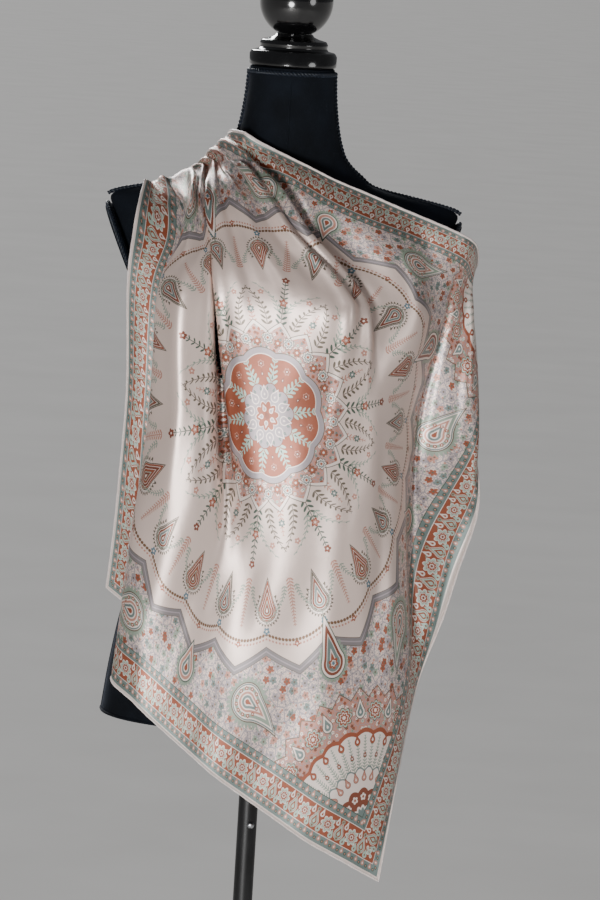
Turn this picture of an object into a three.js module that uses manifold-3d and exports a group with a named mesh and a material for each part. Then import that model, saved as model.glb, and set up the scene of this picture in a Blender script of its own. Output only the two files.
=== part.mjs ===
// Silk square scarf draped over one shoulder of a limbless dress form.
// Units are millimetres, +Z is up, the form faces -Y and stands on the origin.
import * as THREE from 'three';
import { mergeVertices } from 'three/addons/utils/BufferGeometryUtils.js';
import Module from 'manifold-3d';

// Driving dimensions of the scarf
const SIDE = 760;              // edge of the flat square
const TURN = 23.1;             // degrees between the square's lower edge and the floor
const WALL = 1.5;              // thickness of the cloth's wall
const SEAM_GAP = 0.6;          // between two stretches of the cloth, side by side
const SHOULDER_GAP = 2.3;      // between the front stretches and the one behind the shoulder
const GATHERS = 7;             // small waves gathered on the shoulder
const GATHER_DEPTH = 2.6;      // height of one wave over its own middle

// Driving dimensions of the form and its stand
const FORM_BOTTOM = 740;
const NECK_TOP = 1473;
const FORM_SIDES = 44;
const PLATE_TOP = { x: 200, z: 1310 };       // outer top edge of an arm plate
const PLATE_LOW = { x: 171, z: 1245 };       // lower on the same outer face
const PLATE_CENTRE_Z = 1248;
const PLATE_HALF_DEPTH = 42;
const PLATE_HALF_HEIGHT = 66;
const PLATE_THICKNESS = 8;
const ARM_CUT = { height: 240, depth: 200, reach: 60 };   // what is cut off the form past an arm plate
const REST_GAP = 0.3;
const FINIAL_RADIUS = 41;
const FINIAL_CENTRE_Z = 1547;
const POLE_RADIUS = 11;
const BASE_RADIUS = 170;
const BASE_THICKNESS = 8;

const MATERIALS = {
  silk: { color: 0xefe4e2, roughness: 0.35, metalness: 0 },
  velvet: { color: 0x0d1117, roughness: 0.95, metalness: 0 },
  lacquer: { color: 0x0a0a0b, roughness: 0.18, metalness: 0 },
  steel: { color: 0x151516, roughness: 0.4, metalness: 0.6 },
};

// Dress form: a row for each section, from the rim to the neck.
// z, half width, depth to the front, depth to the back, squareness of the section
const FORM_SECTIONS = [
  { z: 740, half: 173, front: 106, back: 112, power: 2.2 },
  { z: 790, half: 167, front: 108, back: 114, power: 2.2 },
  { z: 850, half: 157, front: 104, back: 108, power: 2.2 },
  { z: 900, half: 146, front: 97, back: 98, power: 2.2 },
  { z: 950, half: 131, front: 88, back: 86, power: 2.2 },
  { z: 1000, half: 119, front: 83, back: 76, power: 2.2 },
  { z: 1050, half: 116, front: 85, back: 74, power: 2.2 },
  { z: 1100, half: 122, front: 94, back: 80, power: 2.2 },
  { z: 1150, half: 132, front: 108, back: 86, power: 2.2 },
  { z: 1190, half: 143, front: 116, back: 90, power: 2.2 },
  { z: 1230, half: 158, front: 112, back: 92, power: 2.1 },
  { z: 1270, half: 180, front: 92, back: 90, power: 1.9 },
  { z: 1300, half: 199, front: 64, back: 72, power: 1.6 },
  { z: 1315, half: 199, front: 52, back: 58, power: 1.5 },
  { z: 1326, half: 188, front: 44, back: 48, power: 1.5 },
  { z: 1335, half: 148, front: 40, back: 44, power: 1.6 },
  { z: 1343, half: 106, front: 40, back: 44, power: 1.8 },
  { z: 1357, half: 82, front: 41, back: 45, power: 2.0 },
  { z: 1372, half: 66, front: 42, back: 45, power: 2.0 },
  { z: 1390, half: 58, front: 44, back: 46, power: 2.0 },
  { z: 1411, half: 53, front: 46, back: 47, power: 2.0 },
  { z: 1440, half: 49, front: 47, back: 47, power: 2.0 },
  { z: 1473, half: 47, front: 47, back: 47, power: 2.0 },
];

// Turned cap: radius and height over the neck's top, from the disc to the finial's seat
const CAP_PROFILE = [
  [0, 0.3], [46, 0.3], [48.5, 3], [48.5, 14], [46, 18], [39, 19.5], [37, 22],
  [38, 26], [36, 30], [28, 32], [22, 34.5], [20, 37.5], [0, 37.5],
];

// Levels of the drape, from the lowest corner up to the top of the shoulder.
// h and k give the level's line on the flat cloth, q = h + k p, with the print's centre at p = q = 0.
// z and lean give its height on the form, z + lean x.
const LEVELS = [
  { name: 'tip', h: -505, k: 0, z: 580, lean: 0 },
  { name: 'low', h: -300, k: 0, z: 792, lean: 0 },
  { name: 'waist', h: -100, k: 0, z: 997, lean: 0 },
  { name: 'print', h: 0, k: 0.09, z: 1100, lean: 0 },
  { name: 'bust', h: 130, k: 0.13, z: 1228, lean: 0 },
  { name: 'chest', h: 235, k: 0.25, z: 1298, lean: 0.11 },
  { name: 'collar', h: 310, k: 0.42, z: 1354, lean: 0.27 },
  { name: 'top', h: 382, k: 0.554, z: 0, lean: 0 },
];
// Height of each fold where it crosses the top level, on the shoulder and in front of the neck
const TOP_HEIGHTS = [
  1337, 1350, 1351, 1352, 1354, 1355, 1358, 1359, 1363, 1369,
  1379, 1384, 1387, 1393, 1397, 1400, 1402, 1405, 1409,
];

// Folds of the drape, from the hem at the strip to the hem at the flap, a row for each.
// p: where the fold lies on the flat cloth at each level; x, y: where it lies on the form.
// columns                tip   low waist print  bust chest collar top
const FOLDS = [
  { name: 'strip_hem',
    p: [-638, -541, -464, -430, -379, -350, -342, -328],
    x: [-184, -178, -169, -161, -166, -163, -160, -156],
    y: [-50, -52, -58, -64, -72, -66, -50, -10] },
  { name: 'strip_turn',
    p: [-560, -485, -402, -364, -313, -270, -250, -232],
    x: [-150, -148, -136, -130, -129, -109, -110, -114],
    y: [-60, -62, -70, -76, -86, -86, -66, -6] },
  { name: 'tuck_outer',
    p: [-448, -386, -323, -292, -262, -251, -243, -227],
    x: [-92, -86, -76, -76, -101, -103, -108, -110],
    y: [-95, -97, -92, -88, -98, -90, -69, -6] },
  { name: 'tuck_inner',
    p: [-432, -370, -307, -276, -248, -241, -239, -221],
    x: [-92, -86, -76, -76, -101, -103, -106, -108],
    y: [-107, -109, -104, -100, -107, -96, -72, -7] },
  { name: 'left_ridge',
    p: [-300, -272, -228, -205, -197, -222, -232, -215],
    x: [-164, -158, -141, -134, -131, -110, -104, -105],
    y: [-112, -112, -106, -104, -112, -103, -79, -11] },
  { name: 'left_panel',
    p: [-243, -223, -150, -150, -160, -185, -205, -196],
    x: [-134, -132, -104, -100, -106, -96, -98, -100],
    y: [-132, -132, -139, -134, -131, -109, -82, -11] },
  { name: 'pleat_left',
    p: [-175, -155, -75, -98, -122, -150, -178, -180],
    x: [-98, -96, -52, -61, -74, -81, -91, -94],
    y: [-132, -135, -128, -122, -130, -110, -81, -9] },
  { name: 'pleat_valley',
    p: [-114, -98, -60, -80, -95, -118, -142, -152],
    x: [-66, -66, -42, -54, -68, -77, -87, -89],
    y: [-132, -134, -119, -101, -113, -94, -70, -6] },
  { name: 'pleat_right',
    p: [-61, -45, -44, -62, -68, -86, -108, -125],
    x: [-38, -38, -31, -46, -62, -71, -82, -84],
    y: [-131, -132, -124, -118, -130, -111, -84, -12] },
  { name: 'centre',
    p: [0, 0, 0, 0, 0, -20, -50, -70],
    x: [-4, -4, -2, -4, -4, -30, -54, -71],
    y: [-130, -131, -139, -136, -141, -118, -88, -24] },
  { name: 'front_ridge',
    p: [75, 92, 92, 92, 92, 25, -2, -26],
    x: [42, 72, 78, 76, 83, 6, -29, -61],
    y: [-128, -131, -136, -135, -138, -118, -92, -40] },
  { name: 'front_roll',
    p: [105, 120, 120, 118, 104, 60, 22, -10],
    x: [65, 94, 100, 97, 92, 24, -14, -57],
    y: [-127, -129, -130, -131, -128, -112, -88, -43] },
  { name: 'front_valley',
    p: [130, 145, 145, 145, 120, 88, 45, 2],
    x: [88, 114, 115, 113, 98, 33, -5, -55],
    y: [-126, -126, -121, -123, -113, -95, -77, -41] },
  { name: 'right_panel',
    p: [155, 200, 200, 205, 200, 190, 85, 17],
    x: [112, 151, 142, 140, 155, 108, 16, -52],
    y: [-124, -108, -92, -86, -84, -80, -69, -44] },
  { name: 'right_turn',
    p: [172, 235, 245, 245, 250, 228, 104, 25],
    x: [127, 166, 154, 154, 172, 138, 27, -50],
    y: [-122, -88, -60, -52, -52, -62, -64, -45] },
  { name: 'crease',
    p: [184, 260, 297, 290, 285, 300, 130, 34],
    x: [138, 173, 166, 168, 188, 186, 41, -47],
    y: [-120, -66, -24, -16, -30, -44, -58, -46] },
  { name: 'flap',
    p: [189, 270, 330, 330, 340, 370, 150, 40],
    x: [142, 176, 202, 203, 205, 202, 54, -45],
    y: [-119, -58, -20, -12, -8, 4, -52, -47] },
  { name: 'flap_edge',
    p: [194, 278, 360, 376, 400, 440, 180, 50],
    x: [146, 178, 229, 232, 216, 201, 74, -42],
    y: [-118, -52, -17, 0, 22, 44, -44, -48] },
  { name: 'flap_hem',
    p: [198, 285, 377, 429, 495, 574, 240, 70],
    x: [149, 179, 242, 214, 160, 157, 114, -38],
    y: [-117, -47, -15, 46, 76, 84, -30, -50] },
];

// Cloth behind the shoulder: a row for each level, with the two hems that bound it
const BACK_LEVELS = [
  { name: 'side', h: 402, left: [-157, 14, 1335], right: [-65, -6, 1399], sag: 15 },
  { name: 'rear', h: 440, left: [-155, 48, 1308], right: [-67, 44, 1376], sag: 8 },
  { name: 'blade', h: 525, left: [-141, 90, 1238], right: [-84, 92, 1290], sag: 0 },
  { name: 'corner', h: 609.4, left: [-112, 101, 1165], right: [-110, 101, 1166], sag: 0 },
];
const BACK_SLOPE = 0.554;
const BACK_WAVE = 5;           // depth of the folds that run down the back
const BACK_FOLDS = 3;
const STRIP_TOP_X = -156;      // where the two hems cross the top level
const NECK_TOP_X = -48;

// Rows and columns of the walls' faces
const ROWS_PER_LEVEL = [9, 7, 5, 6, 5, 4, 4];
const HEM_ROWS = [-302, -286, -278, -270, -262];  // where the lower hem turns round the left ridge
const BACK_ROWS = 8;
const FRONT_COLUMNS = 3;
const BACK_COLUMNS = 2;

const RIDGE_COLUMN = FOLDS.findIndex((fold) => fold.name === 'left_ridge');
const half = SIDE / 2;
const turnCos = Math.cos(THREE.MathUtils.degToRad(TURN));
const turnSin = Math.sin(THREE.MathUtils.degToRad(TURN));

// Slopes of a smooth curve through values that stand at given stations, with no overshoot
function curveSlopes(stations, values) {
  const last = stations.length - 1;
  const rise = [];
  for (let i = 0; i < last; i++) rise.push((values[i + 1] - values[i]) / (stations[i + 1] - stations[i]));
  return stations.map((_, i) => {
    if (i === 0) return rise[0];
    if (i === last) return rise[last - 1];
    const before = stations[i] - stations[i - 1];
    const after = stations[i + 1] - stations[i];
    return (rise[i - 1] * after + rise[i] * before) / (before + after);
  });
}

function curveAt(stations, values, slopes, s) {
  let i = 0;
  while (i < stations.length - 2 && s > stations[i + 1]) i++;
  const span = stations[i + 1] - stations[i];
  const t = THREE.MathUtils.clamp((s - stations[i]) / span, -0.4, 1.4);
  const t2 = t * t;
  const t3 = t2 * t;
  return (2 * t3 - 3 * t2 + 1) * values[i] + (t3 - 2 * t2 + t) * span * slopes[i]
    + (3 * t2 - 2 * t3) * values[i + 1] + (t3 - t2) * span * slopes[i + 1];
}

const levelH = LEVELS.map((level) => level.h);
const lineSlopes = curveSlopes(levelH, LEVELS.map((level) => level.k));
const foldCurves = FOLDS.map((fold, column) => {
  const z = fold.x.map((x, i) => (
    LEVELS[i].name === 'top' ? TOP_HEIGHTS[column] : LEVELS[i].z + LEVELS[i].lean * x
  ));
  return ['p', 'x', 'y', 'z'].map((key) => {
    const values = key === 'z' ? z : fold[key];
    return { values, slopes: curveSlopes(levelH, values) };
  });
});
const TOP_H = levelH[levelH.length - 1];

function levelSlope(h) {
  if (h >= TOP_H) return BACK_SLOPE;
  return curveAt(levelH, LEVELS.map((level) => level.k), lineSlopes, h);
}

// Where the four hems cross a level's line on the flat cloth
function hemCrossings(h) {
  const k = levelSlope(h);
  const corner = half * (turnSin + turnCos);
  const inset = half * (turnCos - turnSin);
  const rise = turnCos / turnSin;
  const fall = turnSin / turnCos;
  return {
    strip: (h - rise * corner + inset) / (rise - k),
    flap: (h + rise * corner - inset) / (rise - k),
    lower: (-inset - fall * corner - h) / (k + fall),
    upper: (inset + fall * corner - h) / (k + fall),
  };
}

// The folds' places at one level: p on the flat cloth, and x, y, z on the form
function foldRow(h) {
  if (h <= TOP_H) {
    return foldCurves.map((curves) => (
      curves.map((curve) => curveAt(levelH, curve.values, curve.slopes, h))
    ));
  }
  const top = foldRow(TOP_H);
  const edges = hemCrossings(TOP_H);
  const now = hemCrossings(h);
  const rows = [{ h: TOP_H }, ...BACK_LEVELS];
  const heights = rows.map((row) => row.h);
  const beyond = (h - TOP_H) / (heights[heights.length - 1] - TOP_H);
  const fade = Math.min(1, beyond * 4) * Math.max(0, 1 - beyond * 1.3);
  return top.map((place) => {
    const share = (place[0] - edges.strip) / (edges.upper - edges.strip);
    const bunched = (place[1] - STRIP_TOP_X) / (NECK_TOP_X - STRIP_TOP_X);
    const across = bunched + (share - bunched) * beyond;
    const fold = [now.strip + share * (now.upper - now.strip)];
    for (let axis = 0; axis < 3; axis++) {
      const values = rows.map((row, i) => {
        if (i === 0) return place[axis + 1];
        const sag = axis === 2 ? row.sag * 4 * across * (1 - across) : 0;
        return row.left[axis] + across * (row.right[axis] - row.left[axis]) - sag;
      });
      fold.push(curveAt(heights, values, curveSlopes(heights, values), h));
    }
    fold[2] += BACK_WAVE * fade * Math.sin(share * BACK_FOLDS * 2 * Math.PI);
    return fold;
  });
}

// The drape: the place on the form of a point of the flat cloth, at level h and position p on its line
function drape(row, p, h) {
  const stations = row.map((place) => place[0]);
  const point = [1, 2, 3].map((axis) => {
    const values = row.map((place) => place[axis]);
    return curveAt(stations, values, curveSlopes(stations, values), p);
  });
  const near = Math.exp(-(((h - TOP_H) / (h > TOP_H ? 30 : 70)) ** 2));
  const gathered = (p - stations[0]) / (stations[stations.length - 3] - stations[0]);
  const wave = Math.cos(gathered * GATHERS * 2 * Math.PI);
  const lift = GATHER_DEPTH * near * wave;
  return new THREE.Vector3(point[0], point[1] - 0.5 * lift, point[2] + lift * (h > TOP_H - 60 ? 1 : 0.6));
}

// Levels that carry a row of faces between two heights on the flat cloth
function rowLevels(from, to) {
  const list = [];
  for (let i = 0; i < levelH.length - 1; i++) {
    const count = ROWS_PER_LEVEL[i];
    for (let n = 0; n < count; n++) list.push(levelH[i] + (levelH[i + 1] - levelH[i]) * n / count);
  }
  const corner = BACK_LEVELS[BACK_LEVELS.length - 1].h;
  for (let n = 0; n <= BACK_ROWS; n++) list.push(TOP_H + (corner - TOP_H) * n / BACK_ROWS);
  const inside = list.filter((h) => h > from + 2 && h < to - 2);
  const apart = inside.filter((h) => HEM_ROWS.every((hemRow) => Math.abs(h - hemRow) > 4));
  const hemRows = HEM_ROWS.filter((h) => h > from && h < to);
  return [from, ...apart, ...hemRows, to].sort((a, b) => a - b);
}

// How far a seam's edge moves along the columns, to stand half the gap off the seam
function seamShift(row, column) {
  if (Number.isInteger(column)) return 0;
  const i = Math.floor(column);
  const across = new THREE.Vector3(...row[i].slice(1)).distanceTo(new THREE.Vector3(...row[i + 1].slice(1)));
  return Math.min(0.3, SEAM_GAP / 2 / across);
}

// Place on the flat cloth of a column of faces. Columns behind the left ridge draw together
// where the lower hem cuts them.
function columnPlace(row, column, start, hems) {
  const at = (c) => {
    const i = Math.min(Math.floor(c), FOLDS.length - 2);
    return row[i][0] + (c - i) * (row[i + 1][0] - row[i][0]);
  };
  const low = Math.max(hems.strip, hems.lower);
  const high = Math.max(low, Math.min(hems.flap, hems.upper));
  const ridge = at(RIDGE_COLUMN);
  if (start > RIDGE_COLUMN - 1 && column < RIDGE_COLUMN && low > at(start) && low < ridge) {
    return low + (ridge - low) * (column - start) / (RIDGE_COLUMN - start);
  }
  return THREE.MathUtils.clamp(at(column), low, high);
}

// One stretch of the cloth as a sheet of triangles, cut by the hems.
// first and last are columns of the folds' table, and a seam lies between two of them.
function stretchSheet({ first, last, from, to, perFold }) {
  const steps = Math.round((last - first) * perFold);
  const points = [];
  const grid = rowLevels(from, to).map((h) => {
    const row = foldRow(h);
    const hems = hemCrossings(h);
    const start = first + seamShift(row, first);
    const end = last - seamShift(row, last);
    return Array.from({ length: steps + 1 }, (_, n) => {
      const column = start + (end - start) * n / steps;
      points.push(drape(row, columnPlace(row, column, start, hems), h));
      return points.length - 1;
    });
  });
  const triangles = [];
  const area = new THREE.Triangle();
  const add = (a, b, c) => {
    area.set(points[a], points[b], points[c]);
    if (area.getArea() > 0.02) triangles.push([a, b, c]);
  };
  for (let r = 0; r < grid.length - 1; r++) {
    for (let c = 0; c < steps; c++) {
      add(grid[r][c], grid[r][c + 1], grid[r + 1][c + 1]);
      add(grid[r][c], grid[r + 1][c + 1], grid[r + 1][c]);
    }
  }
  return { points, triangles };
}

// Joins points of a sheet that lie on each other
function weldSheet({ points, triangles }) {
  const places = new Map();
  const kept = [];
  const index = points.map((point) => {
    const key = point.toArray().map((value) => Math.round(value * 50)).join();
    if (!places.has(key)) {
      places.set(key, kept.length);
      kept.push(point);
    }
    return places.get(key);
  });
  const faces = triangles.map((face) => face.map((i) => index[i]))
    .filter(([a, b, c]) => a !== b && b !== c && c !== a);
  return { points: kept, triangles: faces };
}

// Gives a sheet its wall: both faces half the wall away, and a rim along every open edge
function wallGeometry(sheet) {
  const { points, triangles } = weldSheet(sheet);
  const normals = points.map(() => new THREE.Vector3());
  const edgeUse = new Map();
  for (const [a, b, c] of triangles) {
    const ab = points[b].clone().sub(points[a]);
    const ac = points[c].clone().sub(points[a]);
    const normal = ab.cross(ac);
    for (const i of [a, b, c]) normals[i].add(normal);
    for (const [i, j] of [[a, b], [b, c], [c, a]]) edgeUse.set(`${i},${j}`, [i, j]);
  }
  const count = points.length;
  const positions = [];
  for (const side of [1, -1]) {
    points.forEach((point, i) => {
      const shift = normals[i].clone().normalize().multiplyScalar(side * WALL / 2);
      positions.push(...point.clone().add(shift).toArray());
    });
  }
  const index = [];
  for (const [a, b, c] of triangles) {
    index.push(a, b, c);
    index.push(a + count, c + count, b + count);
  }
  for (const [i, j] of edgeUse.values()) {
    if (!edgeUse.has(`${j},${i}`)) index.push(j, i, i + count, j, i + count, j + count);
  }
  const geometry = new THREE.BufferGeometry();
  geometry.setAttribute('position', new THREE.Float32BufferAttribute(positions, 3));
  geometry.setIndex(index);
  geometry.computeVertexNormals();
  return geometry;
}

// A closed body from rings of points, with flat ends
function ringsGeometry(rings) {
  const sides = rings[0].length;
  const positions = rings.flat().flatMap((point) => point.toArray());
  const index = [];
  for (let r = 0; r < rings.length - 1; r++) {
    for (let s = 0; s < sides; s++) {
      const a = r * sides + s;
      const b = r * sides + (s + 1) % sides;
      index.push(a, b, b + sides, a, b + sides, a + sides);
    }
  }
  for (let s = 1; s < sides - 1; s++) {
    const top = (rings.length - 1) * sides;
    index.push(0, s + 1, s);
    index.push(top, top + s, top + s + 1);
  }
  const geometry = new THREE.BufferGeometry();
  geometry.setAttribute('position', new THREE.Float32BufferAttribute(positions, 3));
  geometry.setIndex(index);
  return geometry;
}

function formRing({ z, half: halfWidth, front, back, power }) {
  const ring = [];
  for (let s = 0; s < FORM_SIDES; s++) {
    const angle = 2 * Math.PI * s / FORM_SIDES;
    const c = Math.cos(angle);
    const d = Math.sin(angle);
    const depth = d < 0 ? front : back;
    const x = halfWidth * Math.sign(c) * Math.abs(c) ** (2 / power);
    const y = depth * Math.sign(d) * Math.abs(d) ** (2 / power);
    ring.push(new THREE.Vector3(x, y, z));
  }
  return ring;
}

const wasm = await Module();
wasm.setup();

function toManifold(geometry) {
  const bare = geometry.clone();
  bare.deleteAttribute('normal');
  bare.deleteAttribute('uv');
  const merged = mergeVertices(bare, 1e-4);
  const vertProperties = new Float32Array(merged.attributes.position.array);
  const triVerts = new Uint32Array(merged.index.array);
  return new wasm.Manifold(new wasm.Mesh({ numProp: 3, vertProperties, triVerts }));
}

function fromManifold(solid) {
  const mesh = solid.getMesh();
  const geometry = new THREE.BufferGeometry();
  geometry.setAttribute('position', new THREE.Float32BufferAttribute(mesh.vertProperties, 3));
  geometry.setIndex(new THREE.Uint32BufferAttribute(mesh.triVerts, 1));
  geometry.computeVertexNormals();
  return geometry;
}

// Lean of the arm plates' faces off the vertical
const plateLean = Math.atan2(PLATE_TOP.x - PLATE_LOW.x, PLATE_TOP.z - PLATE_LOW.z);
const plateFaceX = PLATE_TOP.x - (PLATE_TOP.z - PLATE_CENTRE_Z) * Math.tan(plateLean);

// Places a shape drawn along +Z onto an arm plate's face, its outer face at the given depth inwards
function ontoArmFace(geometry, side, inwards) {
  geometry.rotateY(Math.PI / 2);
  geometry.rotateY(plateLean);
  const outwards = new THREE.Vector3(Math.cos(plateLean), 0, -Math.sin(plateLean));
  geometry.translate(
    plateFaceX - inwards * outwards.x,
    0,
    PLATE_CENTRE_Z - inwards * outwards.z,
  );
  if (side < 0) geometry.rotateZ(Math.PI);
  return geometry;
}

function formBody() {
  let body = toManifold(ringsGeometry(FORM_SECTIONS.map(formRing)));
  for (const side of [1, -1]) {
    const cutter = new THREE.BoxGeometry(ARM_CUT.height, ARM_CUT.depth, ARM_CUT.reach);
    cutter.translate(0, 0, ARM_CUT.reach / 2);
    body = body.subtract(toManifold(ontoArmFace(cutter, side, PLATE_THICKNESS + REST_GAP)));
  }
  return fromManifold(body);
}

function armPlate(side) {
  const plate = new THREE.CylinderGeometry(1, 1, PLATE_THICKNESS, 36);
  plate.rotateX(Math.PI / 2);
  plate.scale(PLATE_HALF_HEIGHT, PLATE_HALF_DEPTH, 1);
  plate.translate(0, 0, -PLATE_THICKNESS / 2);
  return ontoArmFace(plate, side, 0);
}

function lathe(profile, segments) {
  const geometry = new THREE.LatheGeometry(profile.map(([r, z]) => new THREE.Vector2(r, z)), segments);
  geometry.rotateX(Math.PI / 2);
  return geometry;
}

const part = new THREE.Group();

function addPiece(name, geometry, material, z = 0) {
  const mesh = new THREE.Mesh(geometry, new THREE.MeshStandardMaterial(MATERIALS[material]));
  mesh.name = name;
  mesh.position.z = z;
  part.add(mesh);
}

// Stand: weighted base, pole and the plate that carries the form
const HUB = { foot: 24, waist: 19, neck: 16, shoulder: 22, taper: 30, top: 46 };   // radii, then heights
const CARRIER_RADIUS = 52;
const CARRIER_THICKNESS = 6;
addPiece('base_plate', lathe([
  [0, 0], [BASE_RADIUS, 0], [BASE_RADIUS, BASE_THICKNESS - 2], [BASE_RADIUS - 3, BASE_THICKNESS],
  [0, BASE_THICKNESS],
], 64), 'steel');
addPiece('base_hub', lathe([
  [POLE_RADIUS + REST_GAP, BASE_THICKNESS + REST_GAP], [HUB.foot, BASE_THICKNESS + REST_GAP],
  [HUB.foot, HUB.shoulder], [HUB.waist, HUB.taper], [HUB.neck, HUB.top],
  [POLE_RADIUS + REST_GAP, HUB.top], [POLE_RADIUS + REST_GAP, BASE_THICKNESS + REST_GAP],
], 32), 'steel');
const poleTop = FORM_BOTTOM - CARRIER_THICKNESS - 2 * REST_GAP;
addPiece('pole', lathe([
  [0, BASE_THICKNESS + REST_GAP], [POLE_RADIUS, BASE_THICKNESS + REST_GAP], [POLE_RADIUS, poleTop],
  [0, poleTop],
], 32), 'steel');
addPiece('carrier_plate', lathe([
  [0, poleTop + REST_GAP], [CARRIER_RADIUS, poleTop + REST_GAP],
  [CARRIER_RADIUS, poleTop + REST_GAP + CARRIER_THICKNESS], [0, poleTop + REST_GAP + CARRIER_THICKNESS],
], 40), 'steel');
addPiece('form_body', formBody(), 'velvet');
addPiece('arm_plate_right', armPlate(-1), 'velvet');
addPiece('arm_plate_left', armPlate(1), 'velvet');
addPiece('neck_cap', lathe(CAP_PROFILE, 40), 'lacquer', NECK_TOP);
addPiece('finial', finial(), 'lacquer');

function finial() {
  const seat = NECK_TOP + CAP_PROFILE[CAP_PROFILE.length - 1][1] + REST_GAP;
  const profile = [[0, seat]];
  const steps = 14;
  for (let n = 0; n <= steps; n++) {
    const angle = Math.PI * n / steps;
    const z = FINIAL_CENTRE_Z - FINIAL_RADIUS * Math.cos(angle);
    if (z > seat + 0.5) profile.push([Math.max(0, FINIAL_RADIUS * Math.sin(angle)), z]);
    else if (n > 0) profile.push([FINIAL_RADIUS * Math.sin(angle), seat]);
  }
  profile[profile.length - 1][0] = 0;
  return lathe(profile, 32);
}

// Scarf: one wall for each stretch that shows
const STRIP_SEAM = 3 + 1 / 3;  // on the hidden layer, past the tuck
const FLAP_SEAM = 15 + 2 / 3;  // past the crease
const bottom = LEVELS[0].h;
const corner = BACK_LEVELS[BACK_LEVELS.length - 1].h;
const frontEnd = TOP_H - SHOULDER_GAP / 2;
const lastColumn = FOLDS.length - 1;
const STRIP_BOTTOM_H = -196;    // just above the strip's lower corner
const FLAP_BOTTOM_H = -245;     // where the flap's edge has come round to the front
const FLAP_TOP_H = 180;         // where the flap joins the front's upper hem
const CORNER_TRIM = 8;          // the wall ends this far short of a sharp corner
const STRETCHES = {
  scarf_strip: {
    first: 0, last: STRIP_SEAM, from: STRIP_BOTTOM_H, to: frontEnd, perFold: FRONT_COLUMNS,
  },
  scarf_front: {
    first: STRIP_SEAM, last: FLAP_SEAM, from: bottom + CORNER_TRIM, to: frontEnd,
    perFold: FRONT_COLUMNS,
  },
  scarf_flap: {
    first: FLAP_SEAM, last: lastColumn, from: FLAP_BOTTOM_H, to: FLAP_TOP_H, perFold: FRONT_COLUMNS,
  },
  scarf_back: {
    first: 0, last: lastColumn, from: TOP_H + SHOULDER_GAP / 2, to: corner - CORNER_TRIM,
    perFold: BACK_COLUMNS,
  },
};
for (const [name, stretch] of Object.entries(STRETCHES)) {
  addPiece(name, wallGeometry(stretchSheet(stretch)), 'silk');
}

export default part;
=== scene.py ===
# Silk square scarf draped over one shoulder of a limbless velvet dress form.
import math
import bmesh
import bpy
from mathutils import Matrix, Vector


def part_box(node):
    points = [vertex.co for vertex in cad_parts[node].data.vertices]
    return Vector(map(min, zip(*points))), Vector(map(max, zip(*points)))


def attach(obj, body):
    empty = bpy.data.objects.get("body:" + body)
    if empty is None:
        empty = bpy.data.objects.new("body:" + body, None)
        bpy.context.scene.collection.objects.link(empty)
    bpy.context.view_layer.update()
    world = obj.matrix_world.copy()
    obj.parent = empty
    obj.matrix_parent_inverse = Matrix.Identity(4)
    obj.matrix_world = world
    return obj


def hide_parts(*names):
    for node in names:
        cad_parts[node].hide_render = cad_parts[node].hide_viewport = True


bl_info = {
    "name": "Draped silk square",
    "version": (1, 0, 0),
    "blender": (4, 5, 0),
    "location": "View3D > Sidebar > Silk square",
    "description": "Builds a printed silk square, the velvet form it rests on and its stand",
    "category": "Object",
}

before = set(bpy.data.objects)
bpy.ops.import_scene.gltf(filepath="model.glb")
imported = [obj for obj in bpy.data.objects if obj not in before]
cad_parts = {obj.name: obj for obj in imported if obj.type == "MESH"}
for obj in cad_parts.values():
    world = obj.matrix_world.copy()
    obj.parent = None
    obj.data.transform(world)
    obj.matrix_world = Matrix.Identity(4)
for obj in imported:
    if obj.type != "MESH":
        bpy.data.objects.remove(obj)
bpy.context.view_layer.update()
MM = 0.001
BODY = "root"

# Levels of the drape, from the lowest corner up: name, h and k of the line q = h + k p on the flat cloth,
# and the height and lean of that line on the form
LEVELS = [
    ("tip", -505, 0, 580, 0),
    ("low", -300, 0, 792, 0),
    ("waist", -100, 0, 997, 0),
    ("print", 0, 0.09, 1100, 0),
    ("bust", 130, 0.13, 1228, 0),
    ("chest", 235, 0.25, 1298, 0.11),
    ("collar", 310, 0.42, 1354, 0.27),
    ("top", 382, 0.554, 0, 0),
]
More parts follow.
